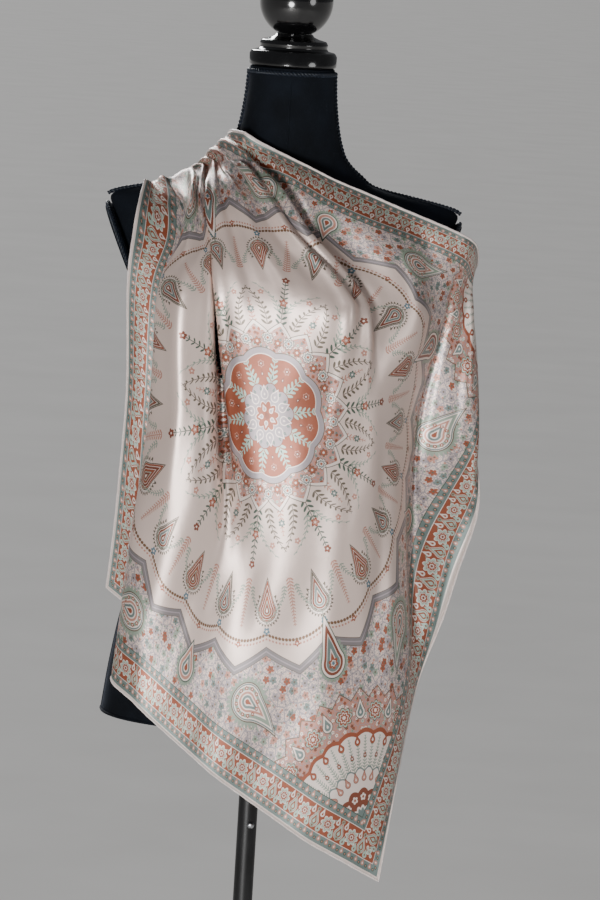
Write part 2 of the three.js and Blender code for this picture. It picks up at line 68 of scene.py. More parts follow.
# Folds of the drape, from hem to hem: place on the flat cloth, x and y on the form, at each level
FOLDS = [
    ("strip_hem",
     (-638, -541, -464, -430, -379, -350, -342, -328),
     (-184, -178, -169, -161, -166, -163, -160, -156),
     (-50, -52, -58, -64, -72, -66, -50, -10)),
    ("strip_turn",
     (-560, -485, -402, -364, -313, -270, -250, -232),
     (-150, -148, -136, -130, -129, -109, -110, -114),
     (-60, -62, -70, -76, -86, -86, -66, -6)),
    ("tuck_outer",
     (-448, -386, -323, -292, -262, -251, -243, -227),
     (-92, -86, -76, -76, -101, -103, -108, -110),
     (-95, -97, -92, -88, -98, -90, -69, -6)),
    ("tuck_inner",
     (-432, -370, -307, -276, -248, -241, -239, -221),
     (-92, -86, -76, -76, -101, -103, -106, -108),
     (-107, -109, -104, -100, -107, -96, -72, -7)),
    ("left_ridge",
     (-300, -272, -228, -205, -197, -222, -232, -215),
     (-164, -158, -141, -134, -131, -110, -104, -105),
     (-112, -112, -106, -104, -112, -103, -79, -11)),
    ("left_panel",
     (-243, -223, -150, -150, -160, -185, -205, -196),
     (-134, -132, -104, -100, -106, -96, -98, -100),
     (-132, -132, -139, -134, -131, -109, -82, -11)),
    ("pleat_left",
     (-175, -155, -75, -98, -122, -150, -178, -180),
     (-98, -96, -52, -61, -74, -81, -91, -94),
     (-132, -135, -128, -122, -130, -110, -81, -9)),
    ("pleat_valley",
     (-114, -98, -60, -80, -95, -118, -142, -152),
     (-66, -66, -42, -54, -68, -77, -87, -89),
     (-132, -134, -119, -101, -113, -94, -70, -6)),
    ("pleat_right",
     (-61, -45, -44, -62, -68, -86, -108, -125),
     (-38, -38, -31, -46, -62, -71, -82, -84),
     (-131, -132, -124, -118, -130, -111, -84, -12)),
    ("centre",
     (0, 0, 0, 0, 0, -20, -50, -70),
     (-4, -4, -2, -4, -4, -30, -54, -71),
     (-130, -131, -139, -136, -141, -118, -88, -24)),
    ("front_ridge",
     (75, 92, 92, 92, 92, 25, -2, -26),
     (42, 72, 78, 76, 83, 6, -29, -61),
     (-128, -131, -136, -135, -138, -118, -92, -40)),
    ("front_roll",
     (105, 120, 120, 118, 104, 60, 22, -10),
     (65, 94, 100, 97, 92, 24, -14, -57),
     (-127, -129, -130, -131, -128, -112, -88, -43)),
    ("front_valley",
     (130, 145, 145, 145, 120, 88, 45, 2),
     (88, 114, 115, 113, 98, 33, -5, -55),
     (-126, -126, -121, -123, -113, -95, -77, -41)),
    ("right_panel",
     (155, 200, 200, 205, 200, 190, 85, 17),
     (112, 151, 142, 140, 155, 108, 16, -52),
     (-124, -108, -92, -86, -84, -80, -69, -44)),
    ("right_turn",
     (172, 235, 245, 245, 250, 228, 104, 25),
     (127, 166, 154, 154, 172, 138, 27, -50),
     (-122, -88, -60, -52, -52, -62, -64, -45)),
    ("crease",
     (184, 260, 297, 290, 285, 300, 130, 34),
     (138, 173, 166, 168, 188, 186, 41, -47),
     (-120, -66, -24, -16, -30, -44, -58, -46)),
    ("flap",
     (189, 270, 330, 330, 340, 370, 150, 40),
     (142, 176, 202, 203, 205, 202, 54, -45),
     (-119, -58, -20, -12, -8, 4, -52, -47)),
    ("flap_edge",
     (194, 278, 360, 376, 400, 440, 180, 50),
     (146, 178, 229, 232, 216, 201, 74, -42),
     (-118, -52, -17, 0, 22, 44, -44, -48)),
    ("flap_hem",
     (198, 285, 377, 429, 495, 574, 240, 70),
     (149, 179, 242, 214, 160, 157, 114, -38),
     (-117, -47, -15, 46, 76, 84, -30, -50)),
]
# Height of each fold at the top level
TOP_HEIGHTS = (
    1337, 1350, 1351, 1352, 1354, 1355, 1358, 1359, 1363, 1369, 1379, 1384, 1387, 1393, 1397, 1400, 1402,
    1405, 1409,
)
BACK_LEVELS = [
    # level, left hem's place, right hem's place, sag
    (402, (-157, 14, 1335), (-65, -6, 1399), 15),
    (440, (-155, 48, 1308), (-67, 44, 1376), 8),
    (525, (-141, 90, 1238), (-84, 92, 1290), 0),
    (609.4, (-112, 101, 1165), (-110, 101, 1166), 0),
]
TURN = 23.1            # degrees between the square's lower edge and the floor
BACK_SLOPE = 0.554
BACK_WAVE = 5
BACK_FOLDS = 3
STRIP_TOP_X = -156
NECK_TOP_X = -48
GATHERS = 7
GATHER_DEPTH = 2.6
GATHER_REACH_FRONT = 70
GATHER_REACH_BACK = 30
GATHER_TURN = 0.5       # how far a gather moves the cloth forward, as a share of its lift
GATHER_LOW = (60, 0.6)  # from this far below the shoulder on, a gather lifts by this share

CREASE_REACH = 2.6      # how far a crease is felt, in widths
# Creases pressed into the draped cloth.
# Each follows places (position on the level's line, level) on the flat cloth, in millimetres.
CREASES = [
    # name, path, width, height over the cloth, share of the path that fades at its start and end
    ("pleat trough", ((-152, 382), (-118, 235), (-95, 130), (-80, 0), (-66, -70), (-62, -130)),
     8, -9.5, 0.1, 0.5),
    ("pleat lip", ((-128, 382), (-92, 235), (-72, 130), (-62, 0), (-52, -80)), 7, 6.0, 0.1, 0.5),
    ("roll, near line", ((-26, 382), (-2, 310), (30, 235), (86, 130), (86, 20), (80, -60)), 8, 6.0, 0.1, 0.5),
    ("roll, dip", ((-16, 382), (12, 310), (48, 235), (102, 130), (104, 40)), 6, -5.2, 0.1, 0.4),
    ("roll, far line", ((-6, 382), (24, 310), (64, 235), (112, 140), (120, 60), (124, -40)),
     7, 5.2, 0.1, 0.5),
    ("valley by the roll", ((4, 382), (45, 310), (88, 235), (128, 130), (146, 20)), 10, -11.4, 0.1, 0.4),
    ("panel fold", ((-172, 235), (-158, 130), (-150, 0), (-154, -120)), 14, 6.0, 0.4, 0.5),
    ("shoulder fold 1", ((-304, 392), (-292, 330), (-286, 250)), 5, 4.0, 0.2, 0.6),
    ("shoulder fold 2", ((-262, 392), (-262, 330), (-246, 240)), 5, -4.4, 0.2, 0.6),
    ("shoulder fold 3", ((-212, 392), (-214, 320), (-190, 220), (-180, 150)), 6, 4.8, 0.2, 0.6),
    ("shoulder fold 4", ((-196, 392), (-196, 320), (-168, 220), (-160, 160)), 5, -4.4, 0.2, 0.6),
    ("shoulder fold 5", ((-176, 392), (-166, 320), (-140, 230), (-120, 130)), 5, 4.0, 0.2, 0.6),
    ("shoulder fold 6", ((-104, 392), (-80, 320), (-48, 230), (-28, 150), (-20, 60)), 7, -4.8, 0.2, 0.6),
    ("shoulder fold 7", ((-84, 392), (-52, 320), (-20, 240), (14, 150), (24, 50)), 8, 5.2, 0.2, 0.6),
    ("shoulder fold 8", ((-50, 392), (-24, 320), (6, 240), (48, 150), (56, 40)), 7, -4.0, 0.2, 0.6),
    ("side crease", ((300, 190), (292, 90), (290, -20), (296, -120)), 7, -6.0, 0.3, 0.4),
    ("flap fold", ((372, 190), (352, 60), (345, -60)), 14, 6.0, 0.3, 0.4),
    ("belly fold 1", ((30, 40), (10, -90), (-20, -220), (-40, -330)), 26, -4.4, 0.4, 0.4),
    ("belly fold 2", ((96, 0), (100, -120), (90, -260), (110, -380)), 24, 5.2, 0.4, 0.4),
    ("belly fold 3", ((160, 60), (176, -80), (166, -220), (160, -360)), 20, -5.2, 0.4, 0.4),
    ("lower left fold", ((-200, -60), (-214, -180), (-230, -280)), 20, 4.0, 0.4, 0.3),
]
# Slight unevenness of the whole cloth: height, waves to the metre across and up, phase
RIPPLES = [(0.8, 7.0, 2.0, 0.4), (0.35, 13.0, -4.0, 1.9)]

# Form's sections: height, half width, depth to the front, depth to the back, squareness
SECTIONS = [
    (740, 173, 106, 112, 2.2),
    (790, 167, 108, 114, 2.2),
    (850, 157, 104, 108, 2.2),
    (900, 146, 97, 98, 2.2),
    (950, 131, 88, 86, 2.2),
    (1000, 119, 83, 76, 2.2),
    (1050, 116, 85, 74, 2.2),
    (1100, 122, 94, 80, 2.2),
    (1150, 132, 108, 86, 2.2),
    (1190, 143, 116, 90, 2.2),
    (1230, 158, 112, 92, 2.1),
    (1270, 180, 92, 90, 1.9),
    (1300, 199, 64, 72, 1.6),
    (1315, 199, 52, 58, 1.5),
    (1326, 188, 44, 48, 1.5),
    (1335, 148, 40, 44, 1.6),
    (1343, 106, 40, 44, 1.8),
    (1357, 82, 41, 45, 2.0),
    (1372, 66, 42, 45, 2.0),
    (1390, 58, 44, 46, 2.0),
    (1411, 53, 46, 47, 2.0),
    (1440, 49, 47, 47, 2.0),
    (1473, 47, 47, 47, 2.0),
]
# Neck cap: radius and height over the neck's top
CAP_PROFILE = [
  (0, 0.3), (46, 0.3), (48.5, 3), (48.5, 14), (46, 18), (39, 19.5), (37, 22),
  (38, 26), (36, 30), (28, 32), (22, 34.5), (20, 37.5), (0, 37.5),
]
# Outer face of the arm's end: lean off the vertical and a point on it, from its top and lower edge
PLATE_TOP = (200, 1310)
PLATE_LOW = (171, 1245)
PLATE_CENTRE_Z = 1248
PLATE_HALF_DEPTH = 42
PLATE_HALF_HEIGHT = 66
PLATE_THICKNESS = 8
REST_GAP = 0.3
RING_STEP = 7          # height between two rings of the form's cover
# Distance of each cord's middle off the cover, in millimetres
ARM_CORD_OFF, SHOULDER_CORD_OFF, NECK_CORD_OFF = 1.2, 0.6, 0.8
# Seams of the form's cover: angle round the form in degrees, and the height where the seam ends
SEAMS = ((-90, 1462), (90, 1462), (-52, 1330), (-128, 1330), (52, 1330), (128, 1330), (0, 1180), (180, 1180))
SEAM_START = 744
SEAM_OFF = -0.2
RIM_HEIGHT = 742        # welt round the cover's lower edge
RIM_RADIUS = 0.0016     # in metres
# Hub on the base: radius and height, from its straight foot up
HUB_PROFILE = [(24, 22), (22.6, 25), (19, 30), (17.4, 36), (16, 46)]
PIN_RADIUS = 0.0042     # spring pin on the pole, in metres
PIN_PLACE = (0.004, 0.618)
SHOULDER_END = 1319    # where the shoulder's cord meets the arm's plate
NECK_TOP = 1473

# Print, in place on the flat square. Colours in sRGB.
COLOURS = {
    "ground": "#e9d2c7", "cream": "#f1e1d8", "rust": "#9c5033", "brick": "#84452f", "teal": "#73837f",
    "mint": "#b4c9bb", "leaf": "#4a5a4c", "twig": "#665a4a", "sage": "#93a08f", "pink": "#c58a78",
    "lavender": "#a79b9f", "ribbon": "#857d7e", "brown": "#765437", "blue": "#5d7c8a",
}
# Each row of the print is laid over the ones before it. All sizes are in millimetres.
# A place is the middle of the square, a corner of its field, the middle of a side, or a spot in between.
# lobes and points: count, radius, turn, depth, colour
# drops: count, radius of the ring, turn, radius of the round end, tip, 1 outwards or -1 inwards, bands
# fringe: count, radius of the ring, turn, radius, tip, direction, leaves, reach, colour
# flowers: count, radius of the ring, turn, radius, petals, depth, bands
# sprays: count, start, turn, length, bend, pitch of the leaves, leaf, colour
# field: radius, lobes, depth, size of a cell, colours
# beads: count, radius, wave, pitch, size, colour
# ribbon: count, radius, wave, width, colour
SIDE_DROP = 300.0          # distance of the drop at a side's middle from the square's middle
DIAGONAL_DROP = 282.0      # the same, of the drop on a diagonal
PAISLEY = (286.0, 118.0)   # a paisley's place, from the square's two middle lines
PAISLEY_BEND = 0.006
FRINGE_GAP = 0.08          # between a drop's edge and its fringe, as a share of its radius
FRINGE_START = 0.5         # angle off a drop's tip that has no fringe
BOTEH = ((0, "cream"), (0.12, "brick"), (0.3, "mint"), (0.36, "rust"), (0.56, "cream"), (0.61, "brick"),
         (0.8, "cream"), (0.85, "rust"))
BOTEH_GREY = ((0, "cream"), (0.12, "brick"), (0.3, "cream"), (0.36, "teal"), (0.56, "cream"), (0.61, "brick"),
              (0.8, "cream"), (0.85, "twig"))
PRINT = [
    # Sprigs that stand out from the lace ring
    ("sprays", "middle", 10, 100, 0.0, 62, 0.0, 6.4, 5.6, "leaf"),
    ("sprays", "middle", 10, 98, 0.16, 48, 0.5, 5.8, 5.2, "twig"),
    ("sprays", "middle", 10, 98, -0.16, 48, -0.5, 5.8, 5.2, "twig"),
    ("sprays", "middle", 10, 116, 0.05, 34, 0.9, 5.0, 3.8, "sage"),
    ("sprays", "middle", 10, 116, -0.05, 34, -0.9, 5.0, 3.8, "sage"),
    ("sprays", "middle", 10, 100, 0.314, 30, 0.0, 4.6, 3.4, "pink"),
    ("flowers", "middle", 10, 128, 0.0, 5.2, 5, 0.4, ((0, "cream"), (0.25, "pink"), (0.6, "rust"))),
    ("flowers", "middle", 10, 161, 0.0, 4.6, 5, 0.4, ((0, "cream"), (0.3, "brick"))),
    ("flowers", "middle", 10, 139, 0.2, 3.8, 5, 0.4, ((0, "cream"), (0.3, "pink"))),
    ("flowers", "middle", 10, 139, -0.2, 3.8, 5, 0.4, ((0, "cream"), (0.3, "pink"))),
    ("flowers", "middle", 10, 116, 0.314, 4.4, 6, 0.4, ((0, "cream"), (0.3, "teal"), (0.7, "leaf"))),
    # Lace ring of small flowers
    ("points", "middle", 20, 104, 0.0, 13, "twig"),
    ("points", "middle", 20, 102.8, 0.0, 13, "cream"),
    ("points", "middle", 20, 98.5, 0.0, 12, "pink"),
    ("field", "middle", 98, 20, 12, 5.6, ("rust", "cream", "mint", "brick", "cream", "teal")),
    ("flowers", "middle", 20, 83, 0.157, 7.2, 8, 0.3,
     ((0, "rust"), (0.25, "cream"), (0.4, "teal"), (0.66, "cream"), (0.84, "twig"))),
    ("flowers", "middle", 20, 79, 0.0, 5.2, 6, 0.35, ((0, "cream"), (0.3, "rust"), (0.8, "twig"))),
    # Medallion
    ("lobes", "middle", 10, 73, 0.314, 5, "twig"),
    ("lobes", "middle", 10, 72, 0.314, 5, "lavender"),
    ("lobes", "middle", 10, 66, 0.314, 5, "cream"),
    ("lobes", "middle", 10, 65, 0.314, 5, "rust"),
    ("sprays", "middle", 10, 35, 0.0, 27, 0.0, 5.4, 6.2, "mint"),
    ("drops", "middle", 10, 41, 0.0, 2.6, 2.6, 1, ((0, "leaf"), (0.4, "mint"))),
    ("flowers", "middle", 10, 55, 0.314, 4.2, 6, 0.35, ((0, "cream"), (0.25, "brick"), (0.7, "pink"))),
    ("drops", "middle", 10, 44, 0.314, 2.2, 1.4, 1, ((0, "cream"), (0.3, "brick"))),
    ("lobes", "middle", 10, 36, 0.0, 5, "brick"),
    ("lobes", "middle", 10, 35, 0.0, 5, "lavender"),
    ("drops", "middle", 10, 23, 0.314, 5.4, 0.9, 1, ((0, "cream"), (0.2, "lavender"), (0.8, "cream"))),
    ("drops", "middle", 20, 29, 0.157, 1.5, 1.2, 1, ((0, "teal"), (0.7, "leaf"))),
    ("lobes", "middle", 10, 17, 0.0, 4, "cream"),
    ("lobes", "middle", 10, 16, 0.0, 4, "rust"),
    ("drops", "middle", 5, 8, 0.0, 2.8, 1.0, 1, ((0, "lavender"), (0.6, "cream"))),
    ("lobes", "middle", 5, 4, 0.0, 1, "brick"),
    # Ring of leaf drops with sprigs and a garland between them
    ("fringe", "middle", 20, 210, 0.157, 11.8, 2.0, -1, 26, 0.5, "twig"),
    ("fringe", "middle", 20, 210, 0.157, 11.8, 2.0, -1, 26, 0.26, "cream"),
    ("drops", "middle", 20, 210, 0.157, 12.4, 2.0, -1, ((0, "cream"), (0.92, "twig"))),
    ("drops", "middle", 10, 210, 0.157, 11.2, 2.0, -1, BOTEH),
    ("drops", "middle", 10, 210, -0.157, 11.2, 2.0, -1, BOTEH_GREY),
    ("sprays", "middle", 20, 176, 0.0, 54, 0.0, 3.6, 3.6, "pink"),
    ("sprays", "middle", 20, 184, 0.04, 38, 0.7, 3.6, 2.8, "sage"),
    ("sprays", "middle", 20, 184, -0.04, 38, -0.7, 3.6, 2.8, "sage"),
    ("beads", "middle", 20, 240, 9, 4.2, 1.9, "brown"),
    ("beads", "middle", 20, 245, 9, 4.2, 1.3, "pink"),
    ("flowers", "middle", 20, 232, 0.157, 4.4, 5, 0.4, ((0, "cream"), (0.35, "blue"))),
    ("flowers", "middle", 20, 249, 0.0, 3.6, 5, 0.4, ((0, "cream"), (0.35, "rust"))),
    # Outer ground, thick with leaves, and the grey ribbon that edges it
    ("field", "outside", 276, 20, 24, 5.0, ("lavender", "sage", "ground", "lavender", "pink")),
    ("field", "outside", 276, 20, 24, 13.0, ("pink", "sage", "lavender", "teal", "rust")),
    ("ribbon", "middle", 20, 266, 24, 10.5, "twig"),
    ("ribbon", "middle", 20, 266, 24, 9.0, "ribbon"),
    ("ribbon", "middle", 20, 266, 24, 1.6, "lavender"),

    ("fringe", "paisley", 1, 0, 0.0, 22, 1.5, 1, 30, 0.3, "sage"),
    ("drops", "paisley", 1, 0, 0.0, 22, 1.5, 1, ((0, "cream"), (0.93, "twig"))),
    ("drops", "paisley", 1, 0, 0.0, 20, 1.5, 1,
     ((0, "rust"), (0.14, "cream"), (0.22, "teal"), (0.36, "cream"), (0.44, "pink"), (0.56, "cream"),
      (0.66, "sage"), (0.84, "cream"), (0.92, "teal"))),
    ("flowers", "paisley", 12, 15.0, 0.0, 2.6, 5, 0.4, ((0, "cream"), (0.4, "rust"))),
    ("fringe", "diagonal", 1, 0, 0.0, 17, 2.4, -1, 26, 0.24, "sage"),
    ("drops", "diagonal", 1, 0, 0.0, 17, 2.4, -1, ((0, "cream"), (0.93, "leaf"))),
    ("drops", "diagonal", 1, 0, 0.0, 15.4, 2.4, -1,
     ((0, "rust"), (0.25, "cream"), (0.33, "teal"), (0.6, "cream"), (0.66, "brick"), (0.86, "cream"))),
    ("flowers", "diagonal", 1, 0, 0.0, 7, 6, 0.35, ((0, "blue"), (0.35, "cream"), (0.55, "rust"))),
    ("fringe", "side", 1, 0, 0.0, 16, 1.2, -1, 26, 0.3, "sage"),
    ("drops", "side", 1, 0, 0.0, 16, 1.2, -1,
     ((0, "rust"), (0.2, "cream"), (0.3, "teal"), (0.5, "cream"), (0.58, "pink"), (0.8, "cream"),
      (0.9, "leaf"))),

    # Quarter medallions in the field's corners
    ("points", "corner", 32, 146, 0.0, 12, "twig"),
    ("points", "corner", 32, 144.5, 0.0, 12, "pink"),
    ("field", "corner", 144, 32, 12, 6.4, ("rust", "mint", "cream", "brick", "cream", "sage")),
    ("flowers", "corner", 16, 118, 0.0, 12, 8, 0.3,
     ((0, "cream"), (0.2, "rust"), (0.42, "cream"), (0.52, "rust"), (0.74, "mint"), (0.88, "twig"))),
    ("drops", "corner", 16, 118, 0.196, 7.4, 1.4, 1,
     ((0, "cream"), (0.2, "teal"), (0.6, "cream"), (0.86, "twig"))),
    ("lobes", "corner", 24, 100, 0.0, 4, "rust"),
    ("lobes", "corner", 24, 95, 0.0, 4, "cream"),
    ("sprays", "corner", 48, 46, 0.0, 46, 0.0, 3.4, 3.2, "sage"),
    ("drops", "corner", 24, 86, 0.131, 4.2, 1.0, 1, ((0, "cream"), (0.35, "rust"))),
    ("drops", "corner", 24, 70, 0.0, 2.4, 1.0, 1, ((0, "cream"), (0.35, "brick"))),
    ("lobes", "corner", 24, 58, 0.131, 5, "teal"),
    ("lobes", "corner", 24, 56, 0.131, 5, "cream"),
    ("drops", "corner", 24, 45, 0.0, 3.8, 1.4, 1, ((0, "cream"), (0.3, "pink"), (0.8, "brick"))),
    ("lobes", "corner", 12, 34, 0.0, 4, "brick"),
    ("flowers", "corner", 12, 24, 0.0, 4.4, 5, 0.35, ((0, "rust"), (0.4, "cream"))),
    ("lobes", "corner", 12, 15, 0.0, 3, "cream"),
    ("lobes", "corner", 12, 12, 0.0, 3, "teal"),
]
# Border's strips, from the field outwards: inner edge's distance from the hem, and ground
BORDER_WIDTH = 52
STRIPS = [
    (BORDER_WIDTH + 1, "leaf"), (BORDER_WIDTH, "teal"), (41.6, "cream"), (40.8, "rust"), (14.2, "cream"),
    (13.4, "teal"), (3.4, "cream"),
]
DROP_FLANK = 1.5       # 1 gives a drop straight flanks, more gives hollow ones
# Border's motifs: kind, distance from the hem, pitch, shift, size, tip or depth, bands
BUD = ((0, "cream"), (0.4, "pink"))
# Leaf of a spray, in shares of its size: its middle off the stem and its edge; how slim it is, the cosine and
# sine of its way, and how much smaller the last one is. Half the stem's width is in millimetres.
LEAF_OFF, LEAF_EDGE, LEAF_SLIM, LEAF_WAY, LEAF_SHRINK = 0.72, 0.75, 2.8, (0.62, 0.78), 0.55
STEM_HALF_WIDTH = 0.45
VINE = {"middle": 27.5, "swing": 8.0, "pitch": 36.0, "half_width": 0.7}
BORDER = [
    ("drop", 47.2, 11, 0.0, 2.5, 1.1, BUD),
    ("flower", 46.2, 11, 0.5, 2.5, 0.4, ((0, "pink"), (0.4, "leaf"))),
    ("drop", 9.2, 11, 0.0, 2.4, 1.1, BUD),
    ("flower", 8.2, 11, 0.5, 2.3, 0.4, ((0, "pink"), (0.4, "leaf"))),
    ("flower", 27.5, 36, 0.0, 9.6, 0.3,
     ((0, "brick"), (0.16, "cream"), (0.28, "rust"), (0.5, "cream"), (0.58, "rust"), (0.64, "mint"),
      (0.88, "cream"))),
    ("drop", 23.5, 36, 0.5, 6.4, 1.1,
     ((0, "mint"), (0.3, "rust"), (0.55, "mint"), (0.8, "rust"), (0.9, "cream"))),
    ("drop", 34.0, 36, 0.32, 2.8, 1.5, ((0, "rust"), (0.4, "cream"))),
    ("drop", 34.0, 36, 0.68, 2.8, 1.5, ((0, "rust"), (0.4, "cream"))),
    ("drop", 18.0, 36, 0.25, 3.2, 1.3, ((0, "brick"), (0.3, "mint"))),
    ("drop", 18.0, 36, 0.75, 3.2, 1.3, ((0, "brick"), (0.3, "mint"))),
    ("flower", 18.5, 36, 0.5, 3.0, 0.4, ((0, "brick"), (0.4, "sage"))),
    ("flower", 37.5, 36, 0.5, 2.6, 0.4, ((0, "brick"), (0.4, "sage"))),
]

ADD = ("Math", {"operation": "ADD"})
SUB = ("Math", {"operation": "SUBTRACT"})
MUL = ("Math", {"operation": "MULTIPLY"})
DIV = ("Math", {"operation": "DIVIDE"})
POW = ("Math", {"operation": "POWER"})
MIN = ("Math", {"operation": "MINIMUM"})
MAX = ("Math", {"operation": "MAXIMUM"})
LESS = ("Math", {"operation": "LESS_THAN"})
MORE = ("Math", {"operation": "GREATER_THAN"})
ROUND = ("Math", {"operation": "ROUND"})
FRACT = ("Math", {"operation": "FRACT"})
ABS = ("Math", {"operation": "ABSOLUTE"})
SQRT = ("Math", {"operation": "SQRT"})
COS = ("Math", {"operation": "COSINE"})
SIN = ("Math", {"operation": "SINE"})
ATAN2 = ("Math", {"operation": "ARCTAN2"})
ACOS = ("Math", {"operation": "ARCCOSINE"})


def colour(code):
    """Linear colour of an sRGB hex value."""
    parts = [int(code[i:i + 2], 16) / 255 for i in (1, 3, 5)]
    return tuple(c / 12.92 if c <= 0.04045 else ((c + 0.055) / 1.055) ** 2.4 for c in parts) + (1.0,)


# ---- Cloth's shape
def curve_slopes(stations, values):
    """Slopes of a smooth curve through values at given stations."""
    last = len(stations) - 1
    rise = [(values[i + 1] - values[i]) / (stations[i + 1] - stations[i]) for i in range(last)]
    slopes = [rise[0]]
    for i in range(1, last):
        before = stations[i] - stations[i - 1]
        after = stations[i + 1] - stations[i]
        slopes.append((rise[i - 1] * after + rise[i] * before) / (before + after))
    return slopes + [rise[-1]]


def span_at(stations, values, slopes, i, s):
    """Smooth curve's value between two neighbouring stations."""
    span = stations[i + 1] - stations[i]
    t = min(max((s - stations[i]) / span, -0.4), 1.4)
    t2 = t * t
    t3 = t2 * t
    return ((2 * t3 - 3 * t2 + 1) * values[i] + (t3 - 2 * t2 + t) * span * slopes[i]
            + (3 * t2 - 2 * t3) * values[i + 1] + (t3 - t2) * span * slopes[i + 1])


def curve_at(stations, values, slopes, s):
    i = 0
    while i < len(stations) - 2 and s > stations[i + 1]:
        i += 1
    return span_at(stations, values, slopes, i, s)


class Drape:
    """Where each point of the flat square lies on the form, in millimetres."""

    def __init__(self, half):
        self.half = half
        self.cos = math.cos(math.radians(TURN))
        self.sin = math.sin(math.radians(TURN))
        self.h = [level[1] for level in LEVELS]
        self.top = self.h[-1]
        self.corner = BACK_LEVELS[-1][0]
        self.k = [level[2] for level in LEVELS]
        self.k_slopes = curve_slopes(self.h, self.k)
        self.curves = []
        for column, (_, p, x, y) in enumerate(FOLDS):
            z = [level[3] + level[4] * at for level, at in zip(LEVELS, x)]
            z[-1] = TOP_HEIGHTS[column]
            self.curves.append([(v, curve_slopes(self.h, v)) for v in (p, x, y, z)])
        self.start = int(self.h[0])
        self.rows = [self.fold_row(self.start + n) for n in range(int(self.corner) - self.start + 2)]
        self.slopes = [self.slope(self.start + n) for n in range(len(self.rows) + 2)]

    def slope(self, h):
        return BACK_SLOPE if h >= self.top else curve_at(self.h, self.k, self.k_slopes, h)

    def hems(self, h):
        """Where the strip's hem and the upper hem cross a level's line."""
        k = self.slope(h)
        corner = self.half * (self.sin + self.cos)
        inset = self.half * (self.cos - self.sin)
        strip = (h - self.cos / self.sin * corner + inset) / (self.cos / self.sin - k)
        upper = (inset + self.sin / self.cos * corner - h) / (k + self.sin / self.cos)
        return strip, upper

    def fold_row(self, h):
        """The folds' places at one level."""
        if h <= self.top:
            return [[curve_at(self.h, v, s, h) for v, s in curves] for curves in self.curves]
        top = self.fold_row(self.top)
        strip_top, upper_top = self.hems(self.top)
        strip, upper = self.hems(h)
        beyond = (h - self.top) / (self.corner - self.top)
        fade = min(1, beyond * 4) * max(0, 1 - beyond * 1.3)
        heights = [self.top] + [row[0] for row in BACK_LEVELS]
        row = []
        for place in top:
            share = (place[0] - strip_top) / (upper_top - strip_top)
            bunched = (place[1] - STRIP_TOP_X) / (NECK_TOP_X - STRIP_TOP_X)
            across = bunched + (share - bunched) * beyond
            fold = [strip + share * (upper - strip)]
            for axis in range(3):
                values = [place[axis + 1]]
                for _, left, right, sag in BACK_LEVELS:
                    drop = sag * 4 * across * (1 - across) if axis == 2 else 0
                    values.append(left[axis] + across * (right[axis] - left[axis]) - drop)
                fold.append(curve_at(heights, values, curve_slopes(heights, values), h))
            fold[2] += BACK_WAVE * fade * math.sin(share * BACK_FOLDS * 2 * math.pi)
            row.append(fold)
        return row

    def level(self, p, q):
        """The level whose line passes through a point of the flat cloth."""
        low, high = self.start, self.corner + 1
        for _ in range(24):
            h = (low + high) / 2
            if h + self.slope_near(h) * p < q:
                low = h
            else:
                high = h
        return (low + high) / 2

    def slope_near(self, h):
        n = int(h - self.start)
        part = h - self.start - n
        return self.slopes[n] * (1 - part) + self.slopes[n + 1] * part

    def point(self, p, h):
        n = min(max(int(h - self.start), 0), len(self.rows) - 2)
        part = h - self.start - n
        row = [[a + (b - a) * part for a, b in zip(low, high)]
               for low, high in zip(self.rows[n], self.rows[n + 1])]
        i = 0
        while i < len(row) - 2 and p > row[i + 1][0]:
            i += 1
        near = row[max(i - 1, 0):i + 3]
        stations = [place[0] for place in near]
        spot = []
        for axis in (1, 2, 3):
            values = [place[axis] for place in near]
            slopes = curve_slopes(stations, values)
            spot.append(span_at(stations, values, slopes, min(i, 1), p))
        reach = GATHER_REACH_BACK if h > self.top else GATHER_REACH_FRONT
        near_top = math.exp(-((h - self.top) / reach) ** 2)
        wave = math.cos((p - row[0][0]) / (row[-3][0] - row[0][0]) * GATHERS * 2 * math.pi)
        lift = GATHER_DEPTH * near_top * wave
        spot[1] -= GATHER_TURN * lift
        spot[2] += lift * (1 if h > self.top - GATHER_LOW[0] else GATHER_LOW[1])
        return Vector(spot)


def smooth_step(x):
    x = min(max(x, 0.0), 1.0)
    return x * x * (3 - 2 * x)


def crease_height(p, h):
    """How far the creases raise the cloth at a place, in millimetres."""
    total = 0.0
    for _, path, width, height, fade_in, fade_out in CREASES:
        reach = CREASE_REACH * width
        if not (min(a[0] for a in path) - reach < p < max(a[0] for a in path) + reach):
            continue
        if not (min(a[1] for a in path) - reach < h < max(a[1] for a in path) + reach):
            continue
        best, along = reach, 0.0
        for n in range(len(path) - 1):
            (ap, ah), (bp, bh) = path[n], path[n + 1]
            dp, dh = bp - ap, bh - ah
            t = min(max(((p - ap) * dp + (h - ah) * dh) / (dp * dp + dh * dh), 0.0), 1.0)
            away = math.hypot(p - ap - t * dp, h - ah - t * dh)
            if away < best:
                best, along = away, (n + t) / (len(path) - 1)
        if best < reach:
            ends = smooth_step(along / fade_in) * smooth_step((1 - along) / fade_out)
            total += height * ends * math.exp(-(best / width) ** 2)
    return total


